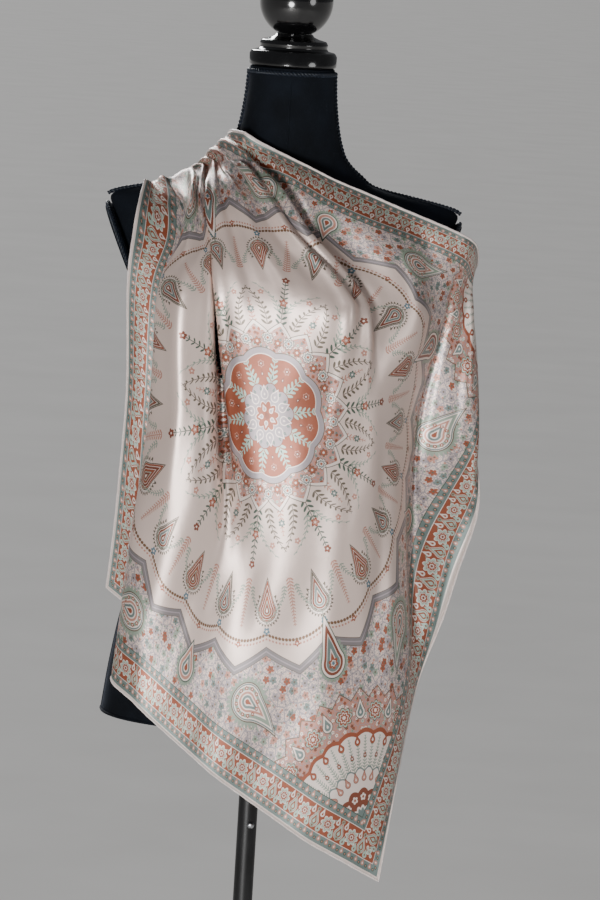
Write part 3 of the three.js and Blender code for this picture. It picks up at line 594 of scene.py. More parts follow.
# ---- Nodes and materials
def add(tree, kind, *values):
    """Adds one node, sets or links its inputs in order, and gives its first output.

    Kind is a node's name, or its name with its settings.
    """
    kind, settings = (kind, {}) if isinstance(kind, str) else kind
    node = tree.nodes.new("ShaderNode" + kind)
    for key, value in settings.items():
        if key == "ramp":
            steps = node.color_ramp.elements
            for n, (position, code) in enumerate(value):
                step = steps[n] if n < 2 else steps.new(position)
                step.position = position
                step.color = colour(code)
        elif key == "hard":
            node.color_ramp.interpolation = "CONSTANT" if value else "LINEAR"
        else:
            setattr(node, key, value)
    for socket, value in zip(node.inputs, values):
        if isinstance(value, bpy.types.NodeSocket):
            tree.links.new(value, socket)
        elif value is not None:
            socket.default_value = value
    return node.outputs[0]


def new_group(name, inputs, outputs):
    """A node group with number sockets; gives the tree, its inputs and its output node."""
    tree = bpy.data.node_groups.new(name, "ShaderNodeTree")
    for label in inputs:
        tree.interface.new_socket(label, in_out="INPUT", socket_type="NodeSocketFloat")
    for label in outputs:
        tree.interface.new_socket(label, in_out="OUTPUT", socket_type="NodeSocketFloat")
    entry = tree.nodes.new("NodeGroupInput")
    leave = tree.nodes.new("NodeGroupOutput")
    return tree, [entry.outputs[label] for label in inputs], leave


def distance(tree, x, y):
    squares = add(tree, ADD, add(tree, MUL, x, x), add(tree, MUL, y, y))
    return add(tree, ADD, add(tree, SQRT, squares), 1e-4)


def ring_group():
    """Cuts a ring into equal sectors: how far a place is out from the ring's line, and across its sector."""
    t, (x, y, count, radius, turn), leave = new_group(
        "ring of motifs", ["X", "Y", "Count", "Radius", "Turn"], ["Out", "Across"])
    angle = add(t, SUB, add(t, ATAN2, y, x), turn)
    step = add(t, DIV, 2 * math.pi, count)
    sector = add(t, DIV, angle, step)
    rest = add(t, MUL, add(t, SUB, sector, add(t, ROUND, sector)), step)
    away = distance(t, x, y)
    out = add(t, SUB, add(t, MUL, away, add(t, COS, rest)), radius)
    t.links.new(out, leave.inputs["Out"])
    t.links.new(add(t, MUL, away, add(t, SIN, rest)), leave.inputs["Across"])
    return t


def drop_group():
    """A leaf drop: below 1 inside, with hollow flanks that meet in a tip along +Out."""
    t, (out, across, radius, tip), leave = new_group(
        "leaf drop", ["Out", "Across", "Radius", "Tip"], ["Depth"])
    flank = add(t, POW, add(t, DIV, 1.0, add(t, ADD, 1.0, tip)), 1 / DROP_FLANK)
    angle = add(t, ABS, add(t, ATAN2, across, out))
    facing = add(t, MAX, add(t, SUB, add(t, ACOS, flank), angle), 0.0)
    pull = add(t, POW, add(t, COS, facing), DROP_FLANK)
    share = add(t, DIV, distance(t, out, across), radius)
    t.links.new(add(t, MUL, share, pull), leave.inputs["Depth"])
    return t


def flower_group():
    """A flower with rounded petals: below 1 inside."""
    t, (x, y, radius, petals, depth), leave = new_group(
        "flower", ["X", "Y", "Radius", "Petals", "Depth"], ["Depth"])
    turned = add(t, MUL, add(t, ATAN2, y, x), add(t, MUL, petals, 0.5))
    petal = add(t, SUB, add(t, ABS, add(t, COS, turned)), 1.0)
    reach = add(t, ADD, 1.0, add(t, MUL, petal, depth))
    t.links.new(add(t, DIV, distance(t, x, y), add(t, MUL, radius, reach)), leave.inputs["Depth"])
    return t


def spray_group():
    """A stem with pairs of leaves that get smaller towards its end: 1 on it and 0 off it."""
    t, (out, across, length, bend, pitch, leaf), leave = new_group(
        "leaf spray", ["Out", "Across", "Length", "Bend", "Pitch", "Leaf"], ["On"])
    share = add(t, DIV, out, length)
    sweep = add(t, MUL, add(t, MUL, share, out), bend)
    across = add(t, SUB, across, sweep)
    size = add(t, MUL, leaf, add(t, SUB, 1.0, add(t, MUL, share, LEAF_SHRINK)))
    aside = add(t, ABS, across)
    along = add(t, SUB, add(t, FRACT, add(t, DIV, out, pitch)), 0.5)
    dx = add(t, MUL, along, pitch)
    dy = add(t, SUB, aside, add(t, MUL, size, LEAF_OFF))
    run = add(t, ADD, add(t, MUL, dx, LEAF_WAY[0]), add(t, MUL, dy, LEAF_WAY[1]))
    side = add(t, SUB, add(t, MUL, dy, LEAF_WAY[0]), add(t, MUL, dx, LEAF_WAY[1]))
    depth = distance(t, add(t, DIV, run, size), add(t, DIV, add(t, MUL, side, LEAF_SLIM), size))
    leaves = add(t, LESS, depth, LEAF_EDGE)
    stem = add(t, LESS, aside, STEM_HALF_WIDTH)
    within = add(t, MUL, add(t, MORE, share, 0.0), add(t, LESS, share, 1.0))
    t.links.new(add(t, MUL, add(t, MAX, leaves, stem), within), leave.inputs["On"])
    return t


def seeds_group():
    """A field of scattered small flowers on fine stems: depth in a flower, its luck, and 1 on a stem."""
    t, (x, y, cell), leave = new_group("scattered flowers", ["X", "Y", "Cell"], ["Depth", "Luck", "Stem"])
    place = add(t, "CombineXYZ", add(t, DIV, x, cell), add(t, DIV, y, cell), 0.0)
    seed = add(t, ("TexVoronoi", {"voronoi_dimensions": "2D"}), place, None, 1.0).node
    middle = add(t, "SeparateXYZ", seed.outputs["Position"]).node
    at = add(t, "SeparateXYZ", place).node
    dx = add(t, SUB, at.outputs["X"], middle.outputs["X"])
    dy = add(t, SUB, at.outputs["Y"], middle.outputs["Y"])
    turned = add(t, MUL, add(t, ATAN2, dy, dx), 2.5)
    reach = add(t, ADD, 0.22, add(t, MUL, add(t, ABS, add(t, COS, turned)), 0.14))
    t.links.new(add(t, DIV, distance(t, dx, dy), reach), leave.inputs["Depth"])
    t.links.new(add(t, "SeparateColor", seed.outputs["Color"]), leave.inputs["Luck"])
    edge = add(t, ("TexVoronoi", {"voronoi_dimensions": "2D", "feature": "DISTANCE_TO_EDGE"}),
               place, None, 1.0)
    t.links.new(add(t, LESS, edge, 0.05), leave.inputs["Stem"])
    return t


def print_colour(tree, u, v, half):
    """The printed pattern's colour at a place of the flat square, in millimetres from its middle."""
    groups = {name: make() for name, make in (
        ("ring", ring_group), ("drop", drop_group), ("flower", flower_group),
        ("spray", spray_group), ("seeds", seeds_group))}
    across = add(tree, ABS, u)
    up = add(tree, ABS, v)
    outer = add(tree, MAX, across, up)
    inner = add(tree, MIN, across, up)
    field_edge = half - BORDER_WIDTH
    root = math.sqrt(0.5)
    places = {
        "middle": (u, v),
        "corner": (add(tree, SUB, field_edge, across), add(tree, SUB, field_edge, up)),
        "side": (add(tree, SUB, outer, SIDE_DROP), inner),
        "diagonal": (
            add(tree, SUB, add(tree, MUL, add(tree, ADD, across, up), root), DIAGONAL_DROP),
            add(tree, MUL, add(tree, SUB, outer, inner), root)),
    }
    px = add(tree, SUB, outer, PAISLEY[0])
    py = add(tree, SUB, inner, PAISLEY[1])
    bent = add(tree, MUL, add(tree, MUL, py, py), PAISLEY_BEND)
    places["paisley"] = (py, add(tree, SUB, px, bent))
    away = distance(tree, u, v)
    turn_round = add(tree, ATAN2, v, u)
    painted = add(tree, "RGB")
    painted.default_value = colour(COLOURS["ground"])

    def lay(mask, over):
        nonlocal painted
        if isinstance(over, str):
            over = colour(COLOURS[over])
        painted = add(tree, "MixRGB", mask, painted, over)

    def lay_bands(depth, bands):
        steps = [(position, COLOURS[name]) for position, name in bands]
        lay(add(tree, LESS, depth, 1.0), add(tree, ("ValToRGB", {"ramp": steps, "hard": True}), depth))

    def wave_edge(place, count, turn, radius, depth, pointed=False):
        x, y = places[place]
        angle = add(tree, SUB, turn_round if place == "middle" else add(tree, ATAN2, y, x), turn)
        if pointed:
            part = add(tree, FRACT, add(tree, MUL, angle, count / (2 * math.pi)))
            crest = add(tree, ABS, add(tree, SUB, add(tree, MUL, part, 2.0), 1.0))
        else:
            crest = add(tree, ABS, add(tree, COS, add(tree, MUL, angle, count / 2)))
        return add(tree, ADD, radius - depth, add(tree, MUL, crest, depth))

    def in_ring(place, count, radius, turn):
        if count == 1:
            return places[place]
        ring = add(tree, ("Group", {"node_tree": groups["ring"]}), *places[place], count, radius, turn).node
        return ring.outputs["Out"], ring.outputs["Across"]

    for kind, place, *row in PRINT:
        if kind in ("lobes", "points"):
            count, radius, turn, depth, name = row
            edge = wave_edge(place, count, turn, radius, depth, kind == "points")
            reach = away if place == "middle" else distance(tree, *places[place])
            lay(add(tree, LESS, reach, edge), name)
        elif kind == "drops":
            count, radius, turn, size, tip, facing, bands = row
            out, aside = in_ring(place, count, radius, turn)
            if facing < 0:
                out = add(tree, MUL, out, -1.0)
            lay_bands(add(tree, ("Group", {"node_tree": groups["drop"]}), out, aside, size, tip), bands)
        elif kind == "flowers":
            count, radius, turn, size, petals, depth, bands = row
            out, aside = in_ring(place, count, radius, turn)
            petal = add(tree, ("Group", {"node_tree": groups["flower"]}), out, aside, size, petals, depth)
            lay_bands(petal, bands)
        elif kind == "sprays":
            count, radius, turn, length, bend, pitch, leaf, name = row
            out, aside = in_ring(place, count, radius, turn)
            leaves = add(tree, ("Group", {"node_tree": groups["spray"]}),
                         out, aside, length, bend, pitch, leaf)
            lay(leaves, name)
        elif kind == "fringe":
            count, radius, turn, size, tip, facing, leaves, reach, name = row
            out, aside = in_ring(place, count, radius, turn)
            if facing < 0:
                out = add(tree, MUL, out, -1.0)
            depth = add(tree, ("Group", {"node_tree": groups["drop"]}), out, aside, size, tip)
            round_it = add(tree, MUL, add(tree, ATAN2, aside, out), leaves / 2)
            leaf = add(tree, ABS, add(tree, SIN, round_it))
            edge = add(tree, ADD, 1 + FRINGE_GAP, add(tree, MUL, leaf, reach - FRINGE_GAP))
            off_tip = add(tree, MORE, add(tree, ABS, add(tree, ATAN2, aside, out)), FRINGE_START)
            lay(add(tree, MUL, off_tip, add(tree, LESS, depth, edge)), name)
        elif kind == "field":
            radius, count, depth, cell, names = row
            middle = "middle" if place == "outside" else place
            edge = wave_edge(middle, count, 0.0, radius, depth, True)
            reach = away if middle == "middle" else distance(tree, *places[middle])
            inside = add(tree, MORE if place == "outside" else LESS, reach, edge)
            seeds = add(tree, ("Group", {"node_tree": groups["seeds"]}), u, v, cell).node
            lay(add(tree, MUL, inside, seeds.outputs["Stem"]), "lavender")
            steps = [(n / len(names), COLOURS[name]) for n, name in enumerate(names)]
            tone = add(tree, ("ValToRGB", {"ramp": steps, "hard": True}), seeds.outputs["Luck"])
            flower = add(tree, LESS, seeds.outputs["Depth"], 1.0)
            lay(add(tree, MUL, inside, flower), tone)
            heart = add(tree, LESS, seeds.outputs["Depth"], 0.3)
            lay(add(tree, MUL, inside, heart), "twig")
        elif kind in ("beads", "ribbon"):
            count, radius, depth = row[:3]
            edge = wave_edge(place, count, 0.0, radius + depth / 2, depth, kind == "ribbon")
            off = add(tree, SUB, away, edge)
            if kind == "ribbon":
                width, name = row[3:]
                lay(add(tree, LESS, add(tree, ABS, off), width / 2), name)
            else:
                pitch, size, name = row[3:]
                steps = round(2 * math.pi * radius / pitch / count) * count
                turned = add(tree, MUL, turn_round, steps / (2 * math.pi))
                part = add(tree, SUB, turned, add(tree, ROUND, turned))
                lay(add(tree, LESS, distance(tree, off, add(tree, MUL, part, pitch)), size), name)

    from_hem = add(tree, SUB, half, outer)
    wide = add(tree, MORE, across, up)
    run = add(tree, ADD, add(tree, MUL, v, wide),
              add(tree, MUL, u, add(tree, SUB, 1.0, wide)))
    for start, name in STRIPS:
        lay(add(tree, LESS, from_hem, start), name)
    vine = add(tree, MUL, add(tree, SIN, add(tree, MUL, run, 2 * math.pi / VINE["pitch"])), VINE["swing"])
    off_vine = add(tree, ABS, add(tree, SUB, add(tree, SUB, from_hem, VINE["middle"]), vine))
    lay(add(tree, LESS, off_vine, VINE["half_width"]), "sage")
    for kind, middle, pitch, shift, size, shape, bands in BORDER:
        part = add(tree, SUB, add(tree, DIV, run, pitch), shift)
        aside = add(tree, MUL, add(tree, SUB, part, add(tree, ROUND, part)), pitch)
        out = add(tree, SUB, from_hem, middle)
        if kind == "drop":
            depth = add(tree, ("Group", {"node_tree": groups["drop"]}), out, aside, size, shape)
        else:
            depth = add(tree, ("Group", {"node_tree": groups["flower"]}), aside, out, size, 8.0, shape)
        lay_bands(depth, bands)
    return painted


def new_material(name):
    material = bpy.data.materials.new(name)
    material.use_nodes = True
    tree = material.node_tree
    return material, tree, tree.nodes["Principled BSDF"]


def silk_satin(side):
    """Silk satin, woven with long floats and printed on its face.

    Its folds show a broad shine, tinted by the dye. Part of that shine comes back out of the dyed threads
    themselves, so the shader is made partly metallic.
    """
    material, tree, shader = new_material("printed_silk_satin")
    shader.inputs["Metallic"].default_value = 0.42
    shader.inputs["Roughness"].default_value = 0.36
    shader.inputs["Specular IOR Level"].default_value = 0.85
    shader.inputs["IOR"].default_value = 1.54
    shader.inputs["Sheen Weight"].default_value = 0.25
    shader.inputs["Sheen Roughness"].default_value = 0.35
    shader.inputs["Sheen Tint"].default_value = colour("#ffeade")
    flat = add(tree, ("UVMap", {"uv_map": "flat"}))
    at = add(tree, "SeparateXYZ", flat).node
    u = add(tree, MUL, add(tree, SUB, at.outputs["X"], 0.5), side)
    v = add(tree, MUL, add(tree, SUB, at.outputs["Y"], 0.5), side)
    tree.links.new(print_colour(tree, u, v, side / 2), shader.inputs["Base Color"])
    # Twill lines a tenth of a millimetre apart are too fine to show, so they are drawn 1.2 mm apart
    lines = add(tree, SIN, add(tree, MUL, add(tree, ADD, u, v), 2 * math.pi / 1.7))
    place = add(tree, "CombineXYZ", u, v, 0.0)
    crinkle = add(tree, ("TexNoise", {"noise_dimensions": "2D"}), place, None, 0.045, 3.0, 0.55)
    height = add(tree, ADD, add(tree, MUL, lines, 0.02), add(tree, MUL, crinkle, 0.35))
    bump = add(tree, "Bump", 0.55, 0.001, None, height)
    tree.links.new(bump, shader.inputs["Normal"])
    return material


def noise_surface(name, sockets, tone, bump=None):
    """Material with its tone from one noise and its bump from another, both in the object's own space.

    tone: scale, detail, roughness, dark place and colour, light place and colour
    bump: scale, detail, roughness, strength, depth in metres
    """
    material, tree, shader = new_material(name)
    for label, value in sockets.items():
        shader.inputs[label].default_value = value
    place = add(tree, "TexCoord").node.outputs["Object"]
    scale, detail, rough, *ends = tone
    shade = add(tree, "TexNoise", place, None, scale, detail, rough)
    tree.links.new(add(tree, ("ValToRGB", {"ramp": ends}), shade), shader.inputs["Base Color"])
    if bump:
        scale, detail, rough, strength, depth = bump
        relief = add(tree, "TexNoise", place, None, scale, detail, rough)
        tree.links.new(add(tree, "Bump", strength, depth, None, relief), shader.inputs["Normal"])
    return material


def rolled_silk():
    """Hand-rolled silk hem: cream cloth turned on itself, uneven from its stitches."""
    return noise_surface("rolled_silk_hem", {"Roughness": 0.4, "Sheen Weight": 0.25},
                         (260.0, 3.0, 0.6, (0.3, "#e9d8d0"), (0.7, "#f8ede8")),
                         (260.0, 3.0, 0.6, 0.4, 0.0006))


def velvet():
    """Cotton velvet, a dense cut pile: nearly black, with a blue-grey bloom where it turns away."""
    return noise_surface(
        "black_cotton_velvet",
        {"Roughness": 0.92, "Specular IOR Level": 0.2, "Sheen Weight": 0.35, "Sheen Roughness": 0.3,
         "Sheen Tint": colour("#4a556a")},
        (14.0, 4.0, 0.6, (0.35, "#080b10"), (0.7, "#141a23")), (900.0, 2.0, 0.6, 0.5, 0.0008))


def rayon_cord():
    """Twisted rayon cord: smooth strands with a brighter silky line than the velvet."""
    return noise_surface(
        "twisted_rayon_cord", {"Roughness": 0.42, "Sheen Weight": 0.3, "Sheen Tint": colour("#6d7b93")},
        (700.0, 2.0, 0.5, (0.3, "#0c1017"), (0.75, "#1d2633")), (700.0, 2.0, 0.5, 0.3, 0.0004))


def lacquer():
    """Turned wood under black gloss lacquer: a clear coat with a faint orange-peel."""
    return noise_surface(
        "gloss_black_lacquer", {"Roughness": 0.16, "Coat Weight": 0.8, "Coat Roughness": 0.06},
        (60.0, 5.0, 0.6, (0.35, "#060607"), (0.8, "#121214")), (260.0, 2.0, 0.5, 0.06, 0.0005))


def powder_coat():
    """Steel under satin black powder coat: a fine pebbled skin that spreads its highlights."""
    return noise_surface("satin_black_powder_coat", {"Roughness": 0.4},
                         (30.0, 5.0, 0.65, (0.35, "#0f0f10"), (0.75, "#1d1d1f")),
                         (1100.0, 2.0, 0.5, 0.2, 0.0004))


def zinc_plate():
    """Zinc-plated spring steel: bright and lightly worn."""
    return noise_surface("zinc_plated_steel", {"Metallic": 1.0, "Roughness": 0.28},
                         (400.0, 4.0, 0.6, (0.3, "#9c9ea1"), (0.7, "#c9cbce")))


def studio_floor():
    """Matt pale vinyl floor of a studio."""
    return noise_surface("pale_matt_floor", {"Roughness": 0.85},
                         (3.0, 3.0, 0.5, (0.3, "#dddbd8"), (0.7, "#e4e2df")))


# ---- Making pieces
def new_piece(name, mesh, materials, replaced=()):
    """Links a finished mesh as a piece of the object, riding on its one body."""
    piece = bpy.data.objects.new(name, mesh)
    bpy.context.scene.collection.objects.link(piece)
    for material in materials:
        mesh.materials.append(material)
    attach(piece, BODY)
    if replaced:
        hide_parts(*replaced)
    return piece


def mesh_from(bm, name, sharp_angle=math.radians(38)):
    """Finished mesh with smooth faces and sharp edges above an angle."""
    for face in bm.faces:
        face.smooth = True
    for edge in bm.edges:
        edge.smooth = not (len(edge.link_faces) == 2 and edge.calc_face_angle() > sharp_angle)
    mesh = bpy.data.meshes.new(name)
    bm.to_mesh(mesh)
    bm.free()
    return mesh


def turned_mesh(name, profile, steps=96):
    """A turned piece: its profile of (radius, height) in millimetres, spun round the pole's axis."""
    bm = bmesh.new()
    verts = [bm.verts.new((r * MM, 0, z * MM)) for r, z in profile]
    edges = [bm.edges.new(pair) for pair in zip(verts, verts[1:])]
    bmesh.ops.spin(bm, geom=verts + edges, cent=(0, 0, 0), axis=(0, 0, 1), dvec=(0, 0, 0),
                   angle=2 * math.pi, steps=steps, use_merge=True, use_normal_flip=False, use_duplicate=False)
    bmesh.ops.remove_doubles(bm, verts=bm.verts, dist=1e-6)
    bmesh.ops.recalc_face_normals(bm, faces=bm.faces)
    return mesh_from(bm, name)


def round_edges(piece, width, segments=3):
    bevel = piece.modifiers.new("rounded edges", "BEVEL")
    bevel.width = width
    bevel.segments = segments
    bevel.limit_method = "ANGLE"
    bevel.angle_limit = math.radians(38)
    bevel.harden_normals = True


def tube_mesh(name, paths):
    """One mesh of round tubes along paths of (points, radius, closed), in metres."""
    curve = bpy.data.curves.new(name, "CURVE")
    curve.dimensions = "3D"
    curve.bevel_depth = 1.0
    curve.bevel_resolution = 1
    curve.use_fill_caps = True
    for points, radius, closed in paths:
        spline = curve.splines.new("POLY")
        spline.points.add(len(points) - 1)
        spline.use_cyclic_u = closed
        spline.use_smooth = True
        for n, (place, spot) in enumerate(zip(spline.points, points)):
            place.co = (*spot, 1.0)
            place.radius = radius[n] if isinstance(radius, list) else radius
    maker = bpy.data.objects.new(name, curve)
    bpy.context.scene.collection.objects.link(maker)
    bpy.context.view_layer.update()
    mesh = bpy.data.meshes.new_from_object(maker.evaluated_get(bpy.context.evaluated_depsgraph_get()))
    bpy.data.objects.remove(maker)
    bpy.data.curves.remove(curve)
    return mesh


def resampled(points, step):
    """Points at even steps along a path."""
    result, carried = [points[0].copy()], 0.0
    for a, b in zip(points, points[1:]):
        length = (b - a).length
        while carried + length >= step:
            a = a.lerp(b, (step - carried) / length)
            length = (b - a).length
            carried = 0.0
            result.append(a.copy())
        carried += length
    return result


def twisted_cord(points, outward, radius, pitch):
    """Two strands twisted round a path that lies on the form.

    Outward gives the way off the form at a point.
    """
    path = resampled(points, pitch / 8)
    strands = []
    for phase in (0.0, math.pi):
        strand = []
        for n, spot in enumerate(path):
            ahead = (path[min(n + 1, len(path) - 1)] - path[max(n - 1, 0)]).normalized()
            off = outward(spot)
            off = (off - ahead * off.dot(ahead)).normalized()
            side = ahead.cross(off)
            turn = phase + 2 * math.pi * n / 8
            strand.append(spot + off * (radius * math.cos(turn)) + side * (radius * math.sin(turn)))
        strands.append((strand, radius, False))
    return strands


def section_at(z):
    """Half width, depth to the front and to the back, and squareness of the form at a height."""
    heights = [row[0] for row in SECTIONS]
    columns = list(zip(*SECTIONS))[1:]
    return [curve_at(heights, values, curve_slopes(heights, values), z) for values in columns]


def form_point(z, angle, off=0.0):
    """A point of the form's skin, or a little off it, in metres."""
    half, front, back, power = section_at(z)
    c, s = math.cos(angle), math.sin(angle)
    x = (half + off) * math.copysign(abs(c) ** (2 / power), c)
    y = ((front if s < 0 else back) + off) * math.copysign(abs(s) ** (2 / power), s)
    return Vector((x, y, z)) * MM


def arm_lean():
    return math.atan2(PLATE_TOP[0] - PLATE_LOW[0], PLATE_TOP[1] - PLATE_LOW[1])


def arm_cut(z):
    """How far out the cover goes at a height, where the arm's plate is let into it."""
    lean = arm_lean()
    if z < PLATE_CENTRE_Z - PLATE_HALF_HEIGHT * math.cos(lean):
        return SECTIONS[0][1]
    return PLATE_TOP[0] - (PLATE_TOP[1] - z) * math.tan(lean) - (PLATE_THICKNESS + REST_GAP) / math.cos(lean)


def arm_frame(side, inwards):
    """Matrix that puts a shape drawn round +Z on the arm's end, its outer face at +Z."""
    lean = arm_lean()
    out = Vector((math.cos(lean), 0, -math.sin(lean)))
    face_x = PLATE_TOP[0] - (PLATE_TOP[1] - PLATE_CENTRE_Z) * math.tan(lean)
    place = Matrix.Translation(Vector((face_x, 0, PLATE_CENTRE_Z)) * MM - out * inwards * MM)
    turned = place @ Matrix.Rotation(lean, 4, "Y") @ Matrix.Rotation(math.pi / 2, 4, "Y")
    return turned if side > 0 else Matrix.Rotation(math.pi, 4, "Z") @ turned


class ScarfSizes(bpy.types.PropertyGroup):
    side: bpy.props.FloatProperty(
        name="Side", description="Edge of the flat square", default=0.76, unit="LENGTH")
    thickness: bpy.props.FloatProperty(
        name="Thickness", description="Thickness of the cloth as it is drawn", default=0.0004, unit="LENGTH")
    hem: bpy.props.FloatProperty(
        name="Hem", description="Radius of the rolled hem", default=0.0012, unit="LENGTH")
    divisions: bpy.props.IntProperty(
        name="Divisions", description="Faces along an edge of the square", default=220, min=40, max=220)


class FormSizes(bpy.types.PropertyGroup):
    cord: bpy.props.FloatProperty(
        name="Cord", description="Radius of one strand of the form's twisted cord", default=0.0013,
        unit="LENGTH")
    pitch: bpy.props.FloatProperty(
        name="Pitch", description="Length of one turn of the cord's strands", default=0.0085, unit="LENGTH")
    seam: bpy.props.FloatProperty(
        name="Seam", description="Radius of the welt along the form's seams", default=0.0009, unit="LENGTH")


class StageColours(bpy.types.PropertyGroup):
    sky: bpy.props.FloatVectorProperty(
        name="Surround", description="Soft light that comes from all round", subtype="COLOR", size=3,
        default=colour("#e4e6ea")[:3], min=0, max=1)


class OBJECT_OT_silk_square(bpy.types.Operator):
    """Drapes the printed square and rolls its hem"""
    bl_idname = "object.silk_square"
    bl_label = "Silk square"

    def execute(self, context):
        sizes = context.scene.scarf_sizes
        side = sizes.side / MM
        drape = Drape(side / 2)
        bm = bmesh.new()
        bmesh.ops.create_grid(bm, x_segments=sizes.divisions, y_segments=sizes.divisions, size=side / 2)
        flat = [(v.co.x, v.co.y) for v in bm.verts]
        uv = bm.loops.layers.uv.new("flat")
        for face in bm.faces:
            for loop in face.loops:
                loop[uv].uv = (loop.vert.co.x / side + 0.5, loop.vert.co.y / side + 0.5)
        heights = []
        for vert, (u, v) in zip(bm.verts, flat):
            p = u * drape.cos + v * drape.sin
            q = v * drape.cos - u * drape.sin
            h = drape.level(p, q)
            vert.co = drape.point(p, h) * MM
            ripple = sum(a * math.sin((fx * u + fy * v) * MM * 2 * math.pi + turn)
                         for a, fx, fy, turn in RIPPLES)
            heights.append(crease_height(p, h) + ripple)
        bm.normal_update()
        shifts = [vert.normal * (height * MM) for vert, height in zip(bm.verts, heights)]
        for vert, shift in zip(bm.verts, shifts):
            vert.co += shift
        edge = [v for v in bm.verts if v.is_boundary]
        start = edge[0]
        walk, last = [start], None
        while True:
            here = walk[-1]
            ahead = [e.other_vert(here) for e in here.link_edges if e.is_boundary]
            following = ahead[0] if ahead[0] is not last else ahead[1]
            if following is start:
                break
            last = here
            walk.append(following)
        rim = [v.co.copy() for v in walk]
        scarf = new_piece("silk_square", mesh_from(bm, "silk_square", math.pi), [silk_satin(side)],
                          ("scarf_front", "scarf_strip", "scarf_flap", "scarf_back"))
        shell = scarf.modifiers.new("cloth", "SOLIDIFY")
        shell.thickness = sizes.thickness
        shell.offset = 0
        radii = [sizes.hem * (1 + 0.12 * math.sin(n * 0.9) + 0.08 * math.sin(n * 2.3))
                 for n in range(len(rim))]
        hem = new_piece("rolled_hem", tube_mesh("rolled_hem", [(rim, radii, True)]), [rolled_silk()])
        return {"FINISHED"}


class OBJECT_OT_velvet_form(bpy.types.Operator):
    """Makes the form's velvet cover, its arm plates, seams and twisted cord"""
    bl_idname = "object.velvet_form"
    bl_label = "Velvet form"

    def execute(self, context):
        sizes = context.scene.form_sizes
        pile = velvet()
        bm = bmesh.new()
        crease = bm.edges.layers.float.new("crease_edge")
        below = None
        low, high = SECTIONS[0][0], SECTIONS[-1][0]
        rings = round((high - low) / RING_STEP)
        for z in [low + (high - low) * n / rings for n in range(rings + 1)]:
            ring = bmesh.ops.create_circle(bm, segments=72, radius=1.0)["verts"]
            for vert in ring:
                vert.co = form_point(z, math.atan2(vert.co.y, vert.co.x))
                reach = arm_cut(z) * MM
                vert.co.x = min(max(vert.co.x, -reach), reach)
            edges = list({e for v in ring for e in v.link_edges})
            if below:
                bmesh.ops.bridge_loops(bm, edges=below + edges)
            below = edges
        for edge in [e for e in bm.edges if e.is_boundary]:
            edge[crease] = 0.9
        bmesh.ops.holes_fill(bm, edges=[e for e in bm.edges if e.is_boundary], sides=0)
        bmesh.ops.recalc_face_normals(bm, faces=bm.faces)
        cover = new_piece("form_cover", mesh_from(bm, "form_cover", math.radians(60)), [pile],
                          ("form_body",))
        smooth = cover.modifiers.new("smooth skin", "SUBSURF")
        smooth.levels = smooth.render_levels = 1

        arm_ends = ((1, "arm_end_left", "arm_plate_left"), (-1, "arm_end_right", "arm_plate_right"))
        for side, name, node in arm_ends:
            bm = bmesh.new()
            bmesh.ops.create_cone(bm, cap_ends=True, segments=96, radius1=1.0, radius2=1.0,
                                  depth=PLATE_THICKNESS * MM)
            bmesh.ops.scale(bm, vec=(PLATE_HALF_HEIGHT * MM, PLATE_HALF_DEPTH * MM, 1), verts=bm.verts)
            bmesh.ops.transform(bm, matrix=arm_frame(side, PLATE_THICKNESS / 2), verts=bm.verts)
            bmesh.ops.recalc_face_normals(bm, faces=bm.faces)
            plate = new_piece(name, mesh_from(bm, name), [pile], (node,))
            round_edges(plate, 0.0022, 4)

        cords = []
        for side in (1, -1):
            place = arm_frame(side, PLATE_THICKNESS * 0.5)
            centre = place.translation
            loop = [place @ Vector((math.cos(a) * (PLATE_HALF_HEIGHT + ARM_CORD_OFF) * MM,
                                    math.sin(a) * (PLATE_HALF_DEPTH + ARM_CORD_OFF) * MM, 0))
                    for a in [2 * math.pi * n / 180 for n in range(181)]]
            cords += twisted_cord(loop, lambda spot: spot - centre, sizes.cord, sizes.pitch)
            angle = 0.0 if side > 0 else math.pi
            line = [form_point(z, angle, SHOULDER_CORD_OFF) for z in range(NECK_TOP - 4, SHOULDER_END, -3)]
            cords += twisted_cord(line, lambda spot: Vector((side, 0, 0.6)), sizes.cord, sizes.pitch)
        ring = [form_point(NECK_TOP - 5, 2 * math.pi * n / 120, NECK_CORD_OFF) for n in range(121)]
        cords += twisted_cord(ring, lambda spot: Vector((spot.x, spot.y, 0)), sizes.cord, sizes.pitch)
        new_piece("form_cord", tube_mesh("form_cord", cords), [rayon_cord()])

        welts = []
        for angle, top in SEAMS:
            line = [form_point(z, math.radians(angle), SEAM_OFF) for z in range(SEAM_START, top, 6)]
            welts.append((line, sizes.seam, False))
        rim = [form_point(RIM_HEIGHT, 2 * math.pi * n / 160, SEAM_OFF) for n in range(160)]
        welts.append((rim, RIM_RADIUS, True))
        new_piece("form_seams", tube_mesh("form_seams", welts), [pile])
        return {"FINISHED"}


